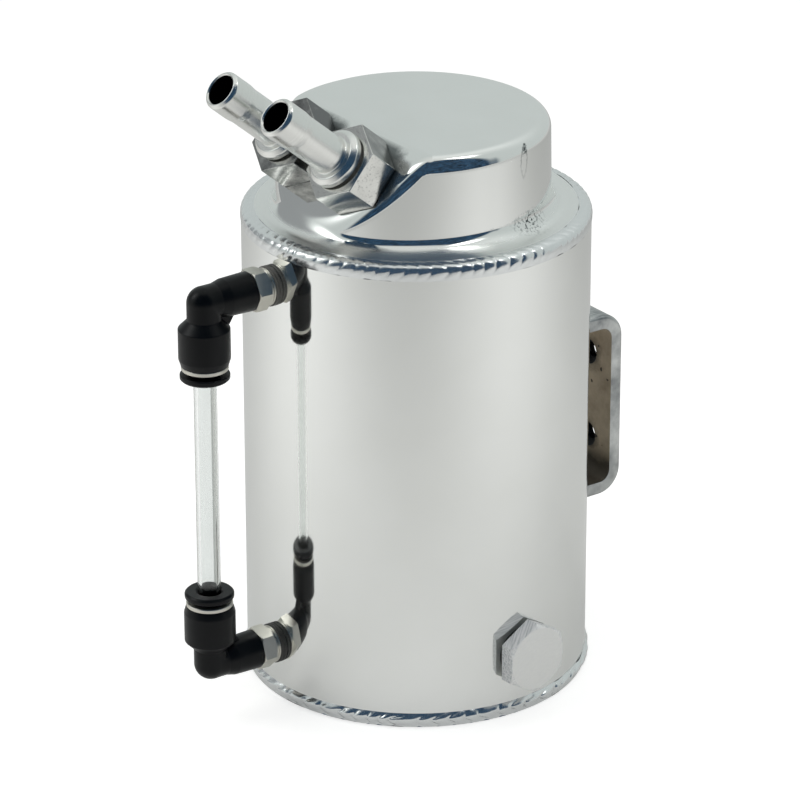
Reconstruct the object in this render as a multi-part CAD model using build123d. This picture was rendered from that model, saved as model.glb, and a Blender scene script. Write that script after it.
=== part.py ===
from build123d import *
import math
import os

# Oil catch can: a welded round can with a stepped head, two hose tails, a sight tube, a drain plug
# and a strap bracket. Millimetres, +Z up, origin on the can's axis at the underside of its base.
# The hose tails and the sight tube face -Y, the bracket faces +Y and the drain plug about +X.

# Can wall and base
CAN_RADIUS = 45.0
CAN_WALL = 3.0
TUBE_LENGTH = 122.0
BASE_THICKNESS = 3.0
BASE_GROOVE = 1.2
BASE_BEAD_PROUD = 1.2
BASE_BEAD_LIFT = 0.3

# Head: shoulder, turret and the sloping facet that carries the hose tails
SHOULDER_THICKNESS = 3.3
SHOULDER_GROOVE = 3.4
TOP_GROOVE = 0.8
TOP_BEAD_PROUD = 1.9
TURRET_LEDGE = 10.3
TURRET_SWELL = 1.8
TURRET_HEIGHT = 24.0
TURRET_DRAFT = 1.0
TURRET_FOOT = 4.0
TURRET_EDGE = 3.2
HEAD_WALL = 3.0
FACET_TILT = 40.0
HOSE_INSET = 9.4
HOSE_UP = 15.7

# Hose tails, measured along their own axes
HOSE_SPACING = 24.4
BUNG_FLATS = 19.0
BUNG_HEIGHT = 9.2
BUNG_EDGE = 0.3
BUNG_SPIGOT_RADIUS = 7.6
HOSE_SEAL_RADIUS = 7.1
HOSE_SEAL_THICKNESS = 0.6
COLLAR_RADIUS = 7.7
COLLAR_THICKNESS = 2.7
COLLAR_CROWN = 1.2
COLLAR_BULGE = 0.3
TAIL_RADIUS = 5.0
TAIL_LENGTH = 21.6
TAIL_BORE_RADIUS = 4.0
TAIL_LIP = 0.45
HOSE_BEAD_RADIUS = 5.25
HOSE_BEAD_LENGTH = 7.0
HOSE_BEAD_RAMP = 2.0
TAIL_THREAD_RADIUS = 6.0
TAIL_THREAD_LENGTH = 9.0

# Sight gauge: where it faces, its lower stud's height and the upper one's drop from the tube's rim,
# then the stack from the wall outwards
SIGHT_FRONT = -90.0
SIGHT_LOW = 15.5
SIGHT_DROP = 9.2
SIGHT_BOSS_RADIUS = 8.0
SIGHT_BOSS_DEPTH = 5.0
STUD_THREAD_RADIUS = 4.6
STUD_SEAL_RADIUS = 5.25
STUD_SEAL_THICKNESS = 1.6
STUD_COLLAR_RADIUS = 4.95
STUD_COLLAR_THICKNESS = 1.2
STUD_FLATS = 10.0
STUD_HEX_LENGTH = 4.0
STUD_HEX_CHAMFER = 0.4
STUD_TURN_HIGH = 2.0
STUD_TURN_LOW = 48.0
STUD_SPIGOT_RADIUS = 3.3
STUD_SPIGOT_LENGTH = 6.0
PASSAGE_RADIUS = 2.0

# Push-in elbow: arm along the stud, port along the sight tube, both measured from the elbow's corner
ELBOW_ARM_LENGTH = 13.5
ELBOW_ARM_RADIUS = 5.15
ELBOW_ARM_DRAFT = 0.2
ELBOW_STEP_START = 3.5
ELBOW_STEP_LENGTH = 2.5
ELBOW_NECK_RADIUS = 4.35
ELBOW_NECK_LENGTH = 4.5
ELBOW_BODY_RADIUS = 6.65
ELBOW_CONE_LENGTH = 2.3
ELBOW_BODY_LENGTH = 8.0
ELBOW_TAPER_LENGTH = 1.95
ELBOW_MOUTH_RADIUS = 6.05
ELBOW_SOCKET_RADIUS = 4.9
ELBOW_SOCKET_DEPTH = 7.1
ELBOW_TUBE_STOP = 6.0
ELBOW_WEB_THICKNESS = 3.0
ELBOW_WEB_REACH = 1.5
TUBE_SEAL_THICKNESS = 1.8
GRIP_RING_THICKNESS = 0.7
GRIP_RING_TEETH = 8
GRIP_SLOT_WIDTH = 0.8
GUIDE_WALL = 0.75
GUIDE_LIP_LENGTH = 1.1
RELEASE_TRAVEL = 1.0
RELEASE_GAP = 0.1
RELEASE_FLANGE_RADIUS = 6.4
RELEASE_FLANGE_THICKNESS = 1.7
RELEASE_FLANGE_EDGE = 0.5
RELEASE_MOUTH_EDGE = 0.5
SIGHT_TUBE_RADIUS = 3.0
SIGHT_TUBE_BORE = 2.0

# Drain plug
DRAIN_HEIGHT = 17.0
DRAIN_TURN = 3.2
DRAIN_FLATS = 17.0
DRAIN_HEX_HEIGHT = 4.2
DRAIN_HEX_CHAMFER = 0.8
DRAIN_THREAD_RADIUS = 6.0
DRAIN_THREAD_LENGTH = 8.5
DRAIN_HOLE_MARGIN = 0.5
DRAIN_BOSS_RADIUS = 10.0
DRAIN_BOSS_DEPTH = 6.0
DRAIN_SEAL_RADIUS = 7.4
DRAIN_SEAL_THICKNESS = 0.8

# Bracket: flat bar bent to a U
BRACKET_WIDTH = 20.0
BRACKET_THICKNESS = 3.8
BRACKET_HEIGHT = 52.0
BRACKET_MIDDLE = 61.0
BRACKET_STANDOFF = 15.5
BRACKET_BEND = 7.0
BRACKET_EDGE = 1.0
BRACKET_HOLE_RADIUS = 2.5
BRACKET_HOLE_SPACING = 24.0
BRACKET_SINK_RADIUS = 3.6
BRACKET_WELD_LEG = 2.5
BRACKET_WELD_INSET = 1.0

# Clearances
THREAD_CLEARANCE = 0.05
FIT_CLEARANCE = 0.05
SLIDE_CLEARANCE = 0.1
SEAL_CLEARANCE = 0.2

# Levels and places that follow from the sizes above
TUBE_TOP = BASE_THICKNESS + TUBE_LENGTH
SIGHT_HIGH = TUBE_TOP - SIGHT_DROP
SHOULDER_TOP = TUBE_TOP + SHOULDER_THICKNESS
TURRET_TOP = SHOULDER_TOP + TURRET_HEIGHT
SEAM_RADIUS = CAN_RADIUS - SHOULDER_GROOVE
CAN_INNER = CAN_RADIUS - CAN_WALL
TURRET_RADIUS = CAN_RADIUS - TURRET_LEDGE
HOSE_OUT = TURRET_RADIUS - HOSE_INSET
HEX_STEP = 30.0
SIGHT_REACH = STUD_SEAL_THICKNESS + STUD_COLLAR_THICKNESS + STUD_HEX_LENGTH + ELBOW_ARM_LENGTH
ELBOW_MOUTH = ELBOW_NECK_LENGTH + ELBOW_CONE_LENGTH + ELBOW_BODY_LENGTH + ELBOW_TAPER_LENGTH
PORT_SEAL = ELBOW_MOUTH - ELBOW_SOCKET_DEPTH
PORT_GRIP = PORT_SEAL + TUBE_SEAL_THICKNESS
PORT_GUIDE = PORT_GRIP + GRIP_RING_THICKNESS
GUIDE_BORE = ELBOW_SOCKET_RADIUS - GUIDE_WALL
FAR = 4 * CAN_RADIUS
LEVEL_TOLERANCE = 0.03
LEAN_TOLERANCE = 0.001

FACET = Plane(
    origin=(0, -HOSE_OUT, SHOULDER_TOP + HOSE_UP),
    x_dir=(1, 0, 0),
    z_dir=(0, -math.cos(math.radians(FACET_TILT)), math.sin(math.radians(FACET_TILT))),
)


def turned(*lines):
    """Solid turned about Z from a closed outline drawn as (radius, height)."""
    return revolve(make_face([Plane.XZ * line for line in lines]), Axis.Z)


def post(radius, bottom, top):
    """Plain cylinder about Z between two heights."""
    return Pos(0, 0, (bottom + top) / 2) * Cylinder(radius, top - bottom)


def washer(outer, inner, bottom, top):
    """Ring about Z between two heights."""
    return post(outer, bottom, top) - post(inner, bottom, top)


def hexagon(flats, bottom, top, turn=0.0):
    """Hexagon bar about Z between two heights, its first corner turned from +X."""
    section = RegularPolygon(flats / 2, 6, major_radius=False, rotation=turn)
    return extrude(Plane.XY.offset(bottom) * section, amount=top - bottom)


def crowned_hexagon(flats, foot, face, turn, depth):
    """Hexagon bar with its corners turned off in a cone at the face, which may lie below the foot."""
    corner = flats / math.sqrt(3)
    cone_start = face - math.copysign(depth, face - foot)
    crown = turned(
        Polyline(
            (0, foot),
            (corner, foot),
            (corner, cone_start),
            (flats / 2, face),
            (0, face),
            close=True,
        )
    )
    return hexagon(flats, min(foot, face), max(foot, face), turn) & crown


def wall_plane(angle, height):
    """Plane on the can's wall with Z outwards and Y up; the angle is measured from +X towards +Y."""
    outwards = Vector(math.cos(math.radians(angle)), math.sin(math.radians(angle)), 0)
    sideways = Vector(-outwards.Y, outwards.X, 0)
    return Plane(origin=outwards * CAN_RADIUS + Vector(0, 0, height), x_dir=sideways, z_dir=outwards)


def make_can_tube():
    """Round wall with weld grooves at both rims and holes for the studs and the plug."""
    bottom_groove = CAN_RADIUS - BASE_GROOVE
    top_groove = CAN_RADIUS - TOP_GROOVE
    tube = turned(
        Polyline(
            (CAN_INNER, BASE_THICKNESS),
            (bottom_groove, BASE_THICKNESS),
            (CAN_RADIUS, BASE_THICKNESS + BASE_GROOVE),
            (CAN_RADIUS, TUBE_TOP - TOP_GROOVE),
            (top_groove, TUBE_TOP),
            (CAN_INNER, TUBE_TOP),
            close=True,
        )
    )
    stud_hole = post(STUD_THREAD_RADIUS + FIT_CLEARANCE, -2 * CAN_WALL, CAN_WALL)
    drain_hole = post(DRAIN_THREAD_RADIUS + DRAIN_HOLE_MARGIN, -2 * CAN_WALL, CAN_WALL)
    for plane in SIGHT_WALLS.values():
        tube -= plane.location * stud_hole
    return tube - DRAIN_WALL.location * drain_hole


def make_base_plate():
    """Disc that closes the bottom, as wide as the foot of the weld groove."""
    return post(CAN_RADIUS - BASE_GROOVE, 0, BASE_THICKNESS)


def make_base_weld():
    """Bead that fills the groove round the foot and stands proud of the wall."""
    groove_foot = (CAN_RADIUS - BASE_GROOVE, BASE_THICKNESS)
    low_inside = (CAN_RADIUS - BASE_GROOVE, BASE_BEAD_LIFT)
    low_outside = (CAN_RADIUS, BASE_BEAD_LIFT)
    high_outside = (CAN_RADIUS, BASE_THICKNESS + BASE_GROOVE)
    return turned(
        Line(low_inside, low_outside),
        SagittaArc(low_outside, high_outside, -BASE_BEAD_PROUD),
        Line(high_outside, groove_foot),
        Line(groove_foot, low_inside),
    )


def make_top_weld():
    """Bead that rounds the corner between the wall and the head's shoulder."""
    low = (CAN_RADIUS, TUBE_TOP - TOP_GROOVE)
    root = (CAN_RADIUS - TOP_GROOVE, TUBE_TOP)
    seam = (SEAM_RADIUS, SHOULDER_TOP)
    return turned(Line(low, root), Line(root, seam), SagittaArc(seam, low, TOP_BEAD_PROUD))


def turret_blank(inset, bottom, top):
    """Round turret, swollen a little towards the hoses and drafted, inset by a wall from its outside."""
    slope = math.tan(math.radians(TURRET_DRAFT))
    radius = TURRET_RADIUS - inset - (bottom - SHOULDER_TOP) * slope
    plan = Pos(0, -TURRET_SWELL / 2) * SlotCenterToCenter(TURRET_SWELL, 2 * radius, rotation=90)
    blank = extrude(Plane.XY.offset(bottom) * plan, amount=top - bottom, taper=TURRET_DRAFT)
    above_facet = FACET.offset(-inset).location * Pos(0, 0, FAR / 2) * Box(FAR, FAR, FAR)
    return blank - above_facet


def make_head():
    """Shoulder, turret and hose facet in one piece, hollow and open underneath."""
    turret = turret_blank(0, SHOULDER_TOP, TURRET_TOP)
    facet_face = turret.faces().sort_by(SortBy.AREA).filter_by(lambda face: leans_as_facet(face))[-1]
    top_face = turret.faces().sort_by(Axis.Z)[-1]
    turret = fillet(ShapeList(set(facet_face.edges()) | set(top_face.edges())), TURRET_EDGE)
    shoulder = turned(
        Polyline(
            (0, TUBE_TOP),
            (CAN_RADIUS - TOP_GROOVE, TUBE_TOP),
            (SEAM_RADIUS, SHOULDER_TOP),
            (0, SHOULDER_TOP),
            close=True,
        )
    )
    head = shoulder + turret
    head = fillet(head.edges().filter_by(is_turret_foot), TURRET_FOOT)
    head -= turret_blank(HEAD_WALL, TUBE_TOP, TURRET_TOP - HEAD_WALL)
    for axis in HOSE_AXES.values():
        head -= axis * post(BUNG_SPIGOT_RADIUS + FIT_CLEARANCE, -2 * HEAD_WALL, HEAD_WALL)
    return head


def leans_as_facet(face):
    """True for the flat face that faces the same way as the hose tails."""
    return face.geom_type == GeomType.PLANE and face.normal_at().dot(FACET.z_dir) > 1 - LEAN_TOLERANCE


def is_turret_foot(edge):
    """True for the edges where the turret's wall stands on the shoulder."""
    box = edge.bounding_box()
    level = max(abs(box.min.Z - SHOULDER_TOP), abs(box.max.Z - SHOULDER_TOP))
    reach = max(box.max.X, -box.min.X)
    return level < LEVEL_TOLERANCE and reach < (TURRET_RADIUS + SEAM_RADIUS) / 2


def make_bracket():
    """Flat bar bent to a U, its feet coped to the wall, with two countersunk tapped holes in its web."""
    web_outside = CAN_RADIUS + BRACKET_STANDOFF
    foot_start = CAN_RADIUS - BRACKET_STANDOFF
    depth = web_outside - foot_start
    outside = Rectangle(2 * depth, BRACKET_HEIGHT)
    outside = fillet(outside.vertices(), BRACKET_BEND)
    inside = Rectangle(2 * (depth - BRACKET_THICKNESS), BRACKET_HEIGHT - 2 * BRACKET_THICKNESS)
    inside = fillet(inside.vertices(), BRACKET_BEND - BRACKET_THICKNESS)
    bar = extrude(Plane.YZ * outside, amount=BRACKET_WIDTH / 2, both=True)
    bar = fillet(bar.edges().filter_by(lambda edge: abs(edge.center().X) > BRACKET_WIDTH / 4), BRACKET_EDGE)
    bar -= extrude(Plane.YZ * inside, amount=BRACKET_WIDTH, both=True)
    bar = Pos(0, foot_start, BRACKET_MIDDLE) * bar
    bar &= Pos(0, foot_start + depth / 2, BRACKET_MIDDLE) * Box(FAR, depth, FAR)
    bar -= post(CAN_RADIUS, 0, TURRET_TOP)
    web_inside = web_outside - BRACKET_THICKNESS
    sink_depth = BRACKET_SINK_RADIUS - BRACKET_HOLE_RADIUS
    for side in (-1, 1):
        height = BRACKET_MIDDLE + side * BRACKET_HOLE_SPACING / 2
        through = Plane(origin=(0, web_inside, height), x_dir=(1, 0, 0), z_dir=(0, 1, 0)).location
        bar -= through * post(BRACKET_HOLE_RADIUS, -BRACKET_THICKNESS, 2 * BRACKET_THICKNESS)
        sink = Cone(BRACKET_SINK_RADIUS, BRACKET_HOLE_RADIUS, sink_depth)
        bar -= through * Pos(0, 0, sink_depth / 2) * sink
    return bar


def make_bracket_weld(side):
    """Fillet weld between the outside of one bracket foot and the wall; side is +1 above, -1 below."""
    foot = BRACKET_MIDDLE + side * BRACKET_HEIGHT / 2
    ring = turned(
        Polyline(
            (CAN_RADIUS, foot),
            (CAN_RADIUS + BRACKET_WELD_LEG, foot),
            (CAN_RADIUS, foot + side * BRACKET_WELD_LEG),
            close=True,
        )
    )
    width = BRACKET_WIDTH - 2 * (BRACKET_EDGE + BRACKET_WELD_INSET)
    return ring & (Pos(0, FAR / 2, foot) * Box(width, FAR, FAR))


def make_hose_bung():
    """Hexagon bung that stands on the facet, with a spigot through the head's wall and a tapped bore."""
    bar = hexagon(BUNG_FLATS, 0, BUNG_HEIGHT, HEX_STEP)
    bar = chamfer(bar.faces().sort_by(Axis.Z)[-1].edges(), BUNG_EDGE)
    bar += post(BUNG_SPIGOT_RADIUS, -HEAD_WALL, 0)
    return bar - post(TAIL_THREAD_RADIUS + THREAD_CLEARANCE, -2 * HEAD_WALL, 2 * BUNG_HEIGHT)


def make_hose_seal():
    """Flat ring squeezed between the bung and the tail's collar."""
    inner = TAIL_THREAD_RADIUS + FIT_CLEARANCE
    return washer(HOSE_SEAL_RADIUS, inner, BUNG_HEIGHT, BUNG_HEIGHT + HOSE_SEAL_THICKNESS)


def make_hose_tail():
    """Turned tail: threaded shank, crowned collar, plain tube and a low bead that keeps the hose on."""
    collar_foot = BUNG_HEIGHT + HOSE_SEAL_THICKNESS
    collar_top = collar_foot + COLLAR_THICKNESS
    tip = collar_top + TAIL_LENGTH
    shank_end = collar_foot - TAIL_THREAD_LENGTH
    bead_start = tip - HOSE_BEAD_LENGTH
    crown_foot = (COLLAR_RADIUS, collar_top - COLLAR_CROWN)
    crown_top = (COLLAR_RADIUS - COLLAR_CROWN, collar_top)
    lip_outside = (HOSE_BEAD_RADIUS, tip - 2 * TAIL_LIP)
    lip_inside = (TAIL_BORE_RADIUS + TAIL_LIP, tip)
    return turned(
        Polyline(
            (TAIL_BORE_RADIUS, tip - TAIL_LIP),
            (TAIL_BORE_RADIUS, shank_end),
            (TAIL_THREAD_RADIUS, shank_end),
            (TAIL_THREAD_RADIUS, collar_foot),
            (COLLAR_RADIUS, collar_foot),
            crown_foot,
        ),
        SagittaArc(crown_foot, crown_top, -COLLAR_BULGE),
        Polyline(
            crown_top,
            (TAIL_RADIUS, collar_top),
            (TAIL_RADIUS, bead_start - HOSE_BEAD_RAMP),
            (HOSE_BEAD_RADIUS, bead_start),
            lip_outside,
        ),
        Line(lip_outside, lip_inside),
        Line(lip_inside, (TAIL_BORE_RADIUS, tip - TAIL_LIP)),
    )


def make_boss(plane, radius, depth, thread):
    """Tapped boss behind the wall, its face shaped to the inside of the tube."""
    blank = plane.location * washer(radius, thread + THREAD_CLEARANCE, -CAN_WALL - depth, 0)
    return blank & post(CAN_INNER, 0, TUBE_TOP)


def make_wall_seal(plane, radius, inner, thickness, clearance):
    """Ring squeezed against the round wall, flat on its outer side."""
    blank = plane.location * washer(radius, inner, -CAN_WALL, thickness)
    return blank - post(CAN_RADIUS + clearance, 0, TUBE_TOP)


def make_sight_stud(turn):
    """Plated stud: threaded shank, thin collar, hexagon and the spigot that the elbow sits on."""
    collar_foot = STUD_SEAL_THICKNESS
    hex_foot = collar_foot + STUD_COLLAR_THICKNESS
    hex_top = hex_foot + STUD_HEX_LENGTH
    stud = post(STUD_THREAD_RADIUS, -CAN_WALL - SIGHT_BOSS_DEPTH, collar_foot)
    stud += post(STUD_COLLAR_RADIUS, collar_foot, hex_foot)
    stud += crowned_hexagon(STUD_FLATS, hex_top, hex_foot, turn, STUD_HEX_CHAMFER)
    stud += post(STUD_SPIGOT_RADIUS, hex_top, hex_top + STUD_SPIGOT_LENGTH)
    return stud - post(PASSAGE_RADIUS, -2 * CAN_RADIUS, 2 * CAN_RADIUS)


def make_elbow():
    """Moulded elbow with its corner at the origin, port along +Z and stud arm along -Y."""
    shoulder = ELBOW_NECK_LENGTH + ELBOW_CONE_LENGTH
    taper = shoulder + ELBOW_BODY_LENGTH
    crown = (0, -ELBOW_NECK_RADIUS)
    neck = (ELBOW_NECK_RADIUS, 0)
    port = turned(
        RadiusArc(crown, neck, -ELBOW_NECK_RADIUS),
        Polyline(
            neck,
            (ELBOW_NECK_RADIUS, ELBOW_NECK_LENGTH),
            (ELBOW_BODY_RADIUS, shoulder),
            (ELBOW_BODY_RADIUS, taper),
            (ELBOW_MOUTH_RADIUS, ELBOW_MOUTH),
            (0, ELBOW_MOUTH),
        ),
        Line((0, ELBOW_MOUTH), crown),
    )
    along_arm = Rot(90, 0, 0)
    arm = turned(
        Polyline(
            (0, 0),
            (ELBOW_NECK_RADIUS, 0),
            (ELBOW_NECK_RADIUS, ELBOW_STEP_START),
            (ELBOW_ARM_RADIUS - ELBOW_ARM_DRAFT, ELBOW_STEP_START + ELBOW_STEP_LENGTH),
            (ELBOW_ARM_RADIUS, ELBOW_ARM_LENGTH),
            (0, ELBOW_ARM_LENGTH),
            close=True,
        )
    )
    web_edge = ELBOW_BODY_RADIUS + ELBOW_WEB_REACH
    web_outline = Polyline(
        (0, 0),
        (web_edge, 0),
        (web_edge, ELBOW_NECK_LENGTH),
        (ELBOW_BODY_RADIUS, shoulder),
        (0, shoulder),
        close=True,
    )
    web_face = Plane.YZ * Rot(0, 180, 0) * make_face(web_outline)
    web = extrude(web_face, amount=ELBOW_WEB_THICKNESS / 2, both=True)
    elbow = port + along_arm * arm + web
    stud_bore = ELBOW_ARM_LENGTH - STUD_SPIGOT_LENGTH
    elbow -= along_arm * post(PASSAGE_RADIUS, 0, ELBOW_ARM_LENGTH)
    elbow -= along_arm * post(STUD_SPIGOT_RADIUS + FIT_CLEARANCE, stud_bore, ELBOW_ARM_LENGTH)
    elbow -= post(PASSAGE_RADIUS, 0, ELBOW_MOUTH)
    elbow -= post(SIGHT_TUBE_RADIUS + FIT_CLEARANCE, ELBOW_TUBE_STOP, ELBOW_MOUTH)
    return elbow - post(ELBOW_SOCKET_RADIUS, PORT_SEAL, ELBOW_MOUTH)


def make_tube_seal():
    """Lip seal at the bottom of the elbow's socket."""
    return washer(ELBOW_SOCKET_RADIUS, SIGHT_TUBE_RADIUS + FIT_CLEARANCE, PORT_SEAL, PORT_GRIP)


def make_grip_ring():
    """Thin steel ring, slotted from inside into teeth that hold the tube."""
    ring = washer(ELBOW_SOCKET_RADIUS, SIGHT_TUBE_RADIUS + FIT_CLEARANCE, PORT_GRIP, PORT_GUIDE)
    slot_length = GUIDE_BORE
    slot = Pos(slot_length / 2, 0, PORT_GRIP) * Box(slot_length, GRIP_SLOT_WIDTH, 4 * GRIP_RING_THICKNESS)
    for tooth in range(GRIP_RING_TEETH):
        ring -= Rot(0, 0, 360 / GRIP_RING_TEETH * tooth) * slot
    return ring


def make_guide_ring():
    """Plated ring pressed into the elbow's mouth, its lip showing outside."""
    ring = post(ELBOW_SOCKET_RADIUS, PORT_GUIDE, ELBOW_MOUTH)
    ring += post(ELBOW_MOUTH_RADIUS, ELBOW_MOUTH, ELBOW_MOUTH + GUIDE_LIP_LENGTH)
    return ring - post(GUIDE_BORE, PORT_GUIDE, ELBOW_MOUTH + GUIDE_LIP_LENGTH)


def make_release_collar():
    """Collar whose sleeve slides in the guide ring and opens the teeth when it is pushed in."""
    inner = SIGHT_TUBE_RADIUS + SLIDE_CLEARANCE
    sleeve = GUIDE_BORE - FIT_CLEARANCE
    sleeve_end = PORT_GUIDE + RELEASE_TRAVEL + RELEASE_GAP
    flange = ELBOW_MOUTH + GUIDE_LIP_LENGTH + RELEASE_TRAVEL + RELEASE_GAP
    face = flange + RELEASE_FLANGE_THICKNESS
    return turned(
        Polyline(
            (inner, sleeve_end),
            (sleeve, sleeve_end),
            (sleeve, flange),
            (RELEASE_FLANGE_RADIUS, flange),
            (RELEASE_FLANGE_RADIUS, face - RELEASE_FLANGE_EDGE),
            (RELEASE_FLANGE_RADIUS - RELEASE_FLANGE_EDGE, face),
            (inner + RELEASE_MOUTH_EDGE, face),
            (inner, face - RELEASE_MOUTH_EDGE),
            close=True,
        )
    )


def make_sight_tube():
    """Clear tube that stands between the stops of the two elbows."""
    bottom = SIGHT_LOW + ELBOW_TUBE_STOP
    top = SIGHT_HIGH - ELBOW_TUBE_STOP
    return Pos(0, -CAN_RADIUS - SIGHT_REACH, 0) * washer(SIGHT_TUBE_RADIUS, SIGHT_TUBE_BORE, bottom, top)


def make_drain_plug():
    """Hexagon plug, its outer corners chamfered to a circle, with a threaded shank."""
    foot = DRAIN_SEAL_THICKNESS
    face = foot + DRAIN_HEX_HEIGHT
    head = crowned_hexagon(DRAIN_FLATS, foot, face, HEX_STEP, DRAIN_HEX_CHAMFER)
    return head + post(DRAIN_THREAD_RADIUS, foot - DRAIN_THREAD_LENGTH, foot)


SIGHT_WALLS = {
    "upper": wall_plane(SIGHT_FRONT, SIGHT_HIGH),
    "lower": wall_plane(SIGHT_FRONT, SIGHT_LOW),
}
SIGHT_TURNS = {"upper": STUD_TURN_HIGH, "lower": STUD_TURN_LOW}
SIGHT_PORTS = {
    "upper": Pos(0, -CAN_RADIUS - SIGHT_REACH, SIGHT_HIGH) * Rot(0, 180, 0) * Rot(0, 0, 180),
    "lower": Pos(0, -CAN_RADIUS - SIGHT_REACH, SIGHT_LOW) * Rot(0, 0, 180),
}
DRAIN_WALL = wall_plane(DRAIN_TURN, DRAIN_HEIGHT)
HOSE_AXES = {
    "left": FACET.location * Pos(-HOSE_SPACING / 2, 0, 0),
    "right": FACET.location * Pos(HOSE_SPACING / 2, 0, 0),
}

pieces = {
    "can_tube": make_can_tube(),
    "base_plate": make_base_plate(),
    "base_weld": make_base_weld(),
    "head": make_head(),
    "top_weld": make_top_weld(),
    "bracket": make_bracket(),
    "bracket_weld_upper": make_bracket_weld(1),
    "bracket_weld_lower": make_bracket_weld(-1),
}
for side, axis in HOSE_AXES.items():
    pieces["hose_bung_" + side] = axis * make_hose_bung()
    pieces["hose_seal_" + side] = axis * make_hose_seal()
    pieces["hose_tail_" + side] = axis * make_hose_tail()
for end, wall in SIGHT_WALLS.items():
    port = SIGHT_PORTS[end]
    stud_hole = STUD_THREAD_RADIUS + FIT_CLEARANCE
    pieces["sight_boss_" + end] = make_boss(wall, SIGHT_BOSS_RADIUS, SIGHT_BOSS_DEPTH, STUD_THREAD_RADIUS)
    pieces["stud_seal_" + end] = make_wall_seal(wall, STUD_SEAL_RADIUS, stud_hole, STUD_SEAL_THICKNESS, 0)
    pieces["sight_stud_" + end] = wall.location * make_sight_stud(SIGHT_TURNS[end])
    pieces["elbow_" + end] = port * make_elbow()
    pieces["tube_seal_" + end] = port * make_tube_seal()
    pieces["grip_ring_" + end] = port * make_grip_ring()
    pieces["guide_ring_" + end] = port * make_guide_ring()
    pieces["release_collar_" + end] = port * make_release_collar()
pieces["sight_tube"] = make_sight_tube()
pieces["drain_boss"] = make_boss(DRAIN_WALL, DRAIN_BOSS_RADIUS, DRAIN_BOSS_DEPTH, DRAIN_THREAD_RADIUS)
pieces["drain_seal"] = make_wall_seal(
    DRAIN_WALL,
    DRAIN_SEAL_RADIUS,
    DRAIN_THREAD_RADIUS + FIT_CLEARANCE,
    DRAIN_SEAL_THICKNESS,
    SEAL_CLEARANCE,
)
pieces["drain_plug"] = DRAIN_WALL.location * make_drain_plug()

os.makedirs("parts", exist_ok=True)
for name, piece in pieces.items():
    export_step(piece, f"parts/{name}.step")
print(len(pieces), "pieces written")
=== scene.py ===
# %% [markdown]
# # A polished oil catch can
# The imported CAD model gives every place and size, and this lesson gives the looks. Each piece that the eye
# meets is remade with soft edges and true surface normals, because a mirror finish shows every facet, and
# then it rides on the CAD body that it belongs to.

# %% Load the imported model
import math
from functools import partial

import bmesh
import bpy
import numpy as np
from mathutils import Matrix, Vector


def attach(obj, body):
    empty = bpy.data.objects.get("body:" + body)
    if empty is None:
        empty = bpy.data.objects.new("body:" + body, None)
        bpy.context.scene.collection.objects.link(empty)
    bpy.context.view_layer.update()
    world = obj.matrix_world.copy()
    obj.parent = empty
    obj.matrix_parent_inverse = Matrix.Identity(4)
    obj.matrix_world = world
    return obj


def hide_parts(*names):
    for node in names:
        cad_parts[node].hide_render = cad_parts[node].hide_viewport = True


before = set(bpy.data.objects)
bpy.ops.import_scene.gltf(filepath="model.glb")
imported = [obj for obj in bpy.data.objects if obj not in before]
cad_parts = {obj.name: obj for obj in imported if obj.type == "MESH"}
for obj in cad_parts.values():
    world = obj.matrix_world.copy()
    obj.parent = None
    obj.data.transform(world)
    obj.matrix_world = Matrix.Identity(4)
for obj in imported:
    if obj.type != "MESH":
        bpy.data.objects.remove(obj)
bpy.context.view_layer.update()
MM = 0.001

# %% [markdown]
# ## The camera
# The photograph was taken from far off with a long lens, a little above the can. The place, the aim and the
# lens were worked out from the can's own rims, so the script only states them.

# %% Camera
CAMERA_PLACE = Vector((867.09, -621.40, 536.04)) * MM
CAMERA_AIM = Vector((-2.454, -3.454, 72.874)) * MM
CAMERA_LENS = 200.41
CAMERA_ROLL = math.radians(-0.085)

camera = bpy.data.objects.new("camera", bpy.data.cameras.new("camera"))
bpy.context.scene.collection.objects.link(camera)
camera.data.sensor_width = 36.0
camera.data.lens = CAMERA_LENS
aim = (CAMERA_AIM - CAMERA_PLACE).to_track_quat("-Z", "Y").to_matrix()
roll = Matrix.Rotation(CAMERA_ROLL, 3, "Z")
camera.matrix_world = Matrix.Translation(CAMERA_PLACE) @ (aim @ roll).to_4x4()
bpy.context.scene.camera = camera
CAMERA_BEARING = math.atan2(CAMERA_PLACE.y, CAMERA_PLACE.x)
print("camera bearing", round(math.degrees(CAMERA_BEARING), 1), "degrees from +X")

# %% [markdown]
# ## Nodes and colours
# One small function adds a shader or geometry node, sets its fields, and links or fills its inputs. A
# material hands it out already bound to its own tree, under the name add, so a chain of nodes reads line by
# line. Another function turns a written sRGB colour into the linear numbers that the renderer works with.


# %% Helpers for nodes and colours
def linear(code):
    """Linear colour with alpha from an sRGB hex code such as #808080."""
    shares = [int(code[i : i + 2], 16) / 255 for i in (1, 3, 5)]
    return tuple(s / 12.92 if s <= 0.04045 else ((s + 0.055) / 1.055) ** 2.4 for s in shares) + (1.0,)


def node(tree, kind, inputs=(), **settings):
    """Adds a node. Inputs come by name, or as a row for the sockets in use. Each is a value, a socket to
    link from, or a node, which is linked from its first output in use."""
    made = tree.nodes.new(kind if "Node" in kind else "ShaderNode" + kind)
    for field, value in settings.items():
        setattr(made, field, value)
    if not isinstance(inputs, dict):
        inputs = dict(zip([i for i, socket in enumerate(made.inputs) if socket.enabled], inputs))
    for socket, value in inputs.items():
        if isinstance(value, bpy.types.Node):
            value = next(out for out in value.outputs if out.enabled)
        if isinstance(value, bpy.types.NodeSocket):
            tree.links.new(value, made.inputs[socket])
        else:
            made.inputs[socket].default_value = value
    return made


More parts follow.
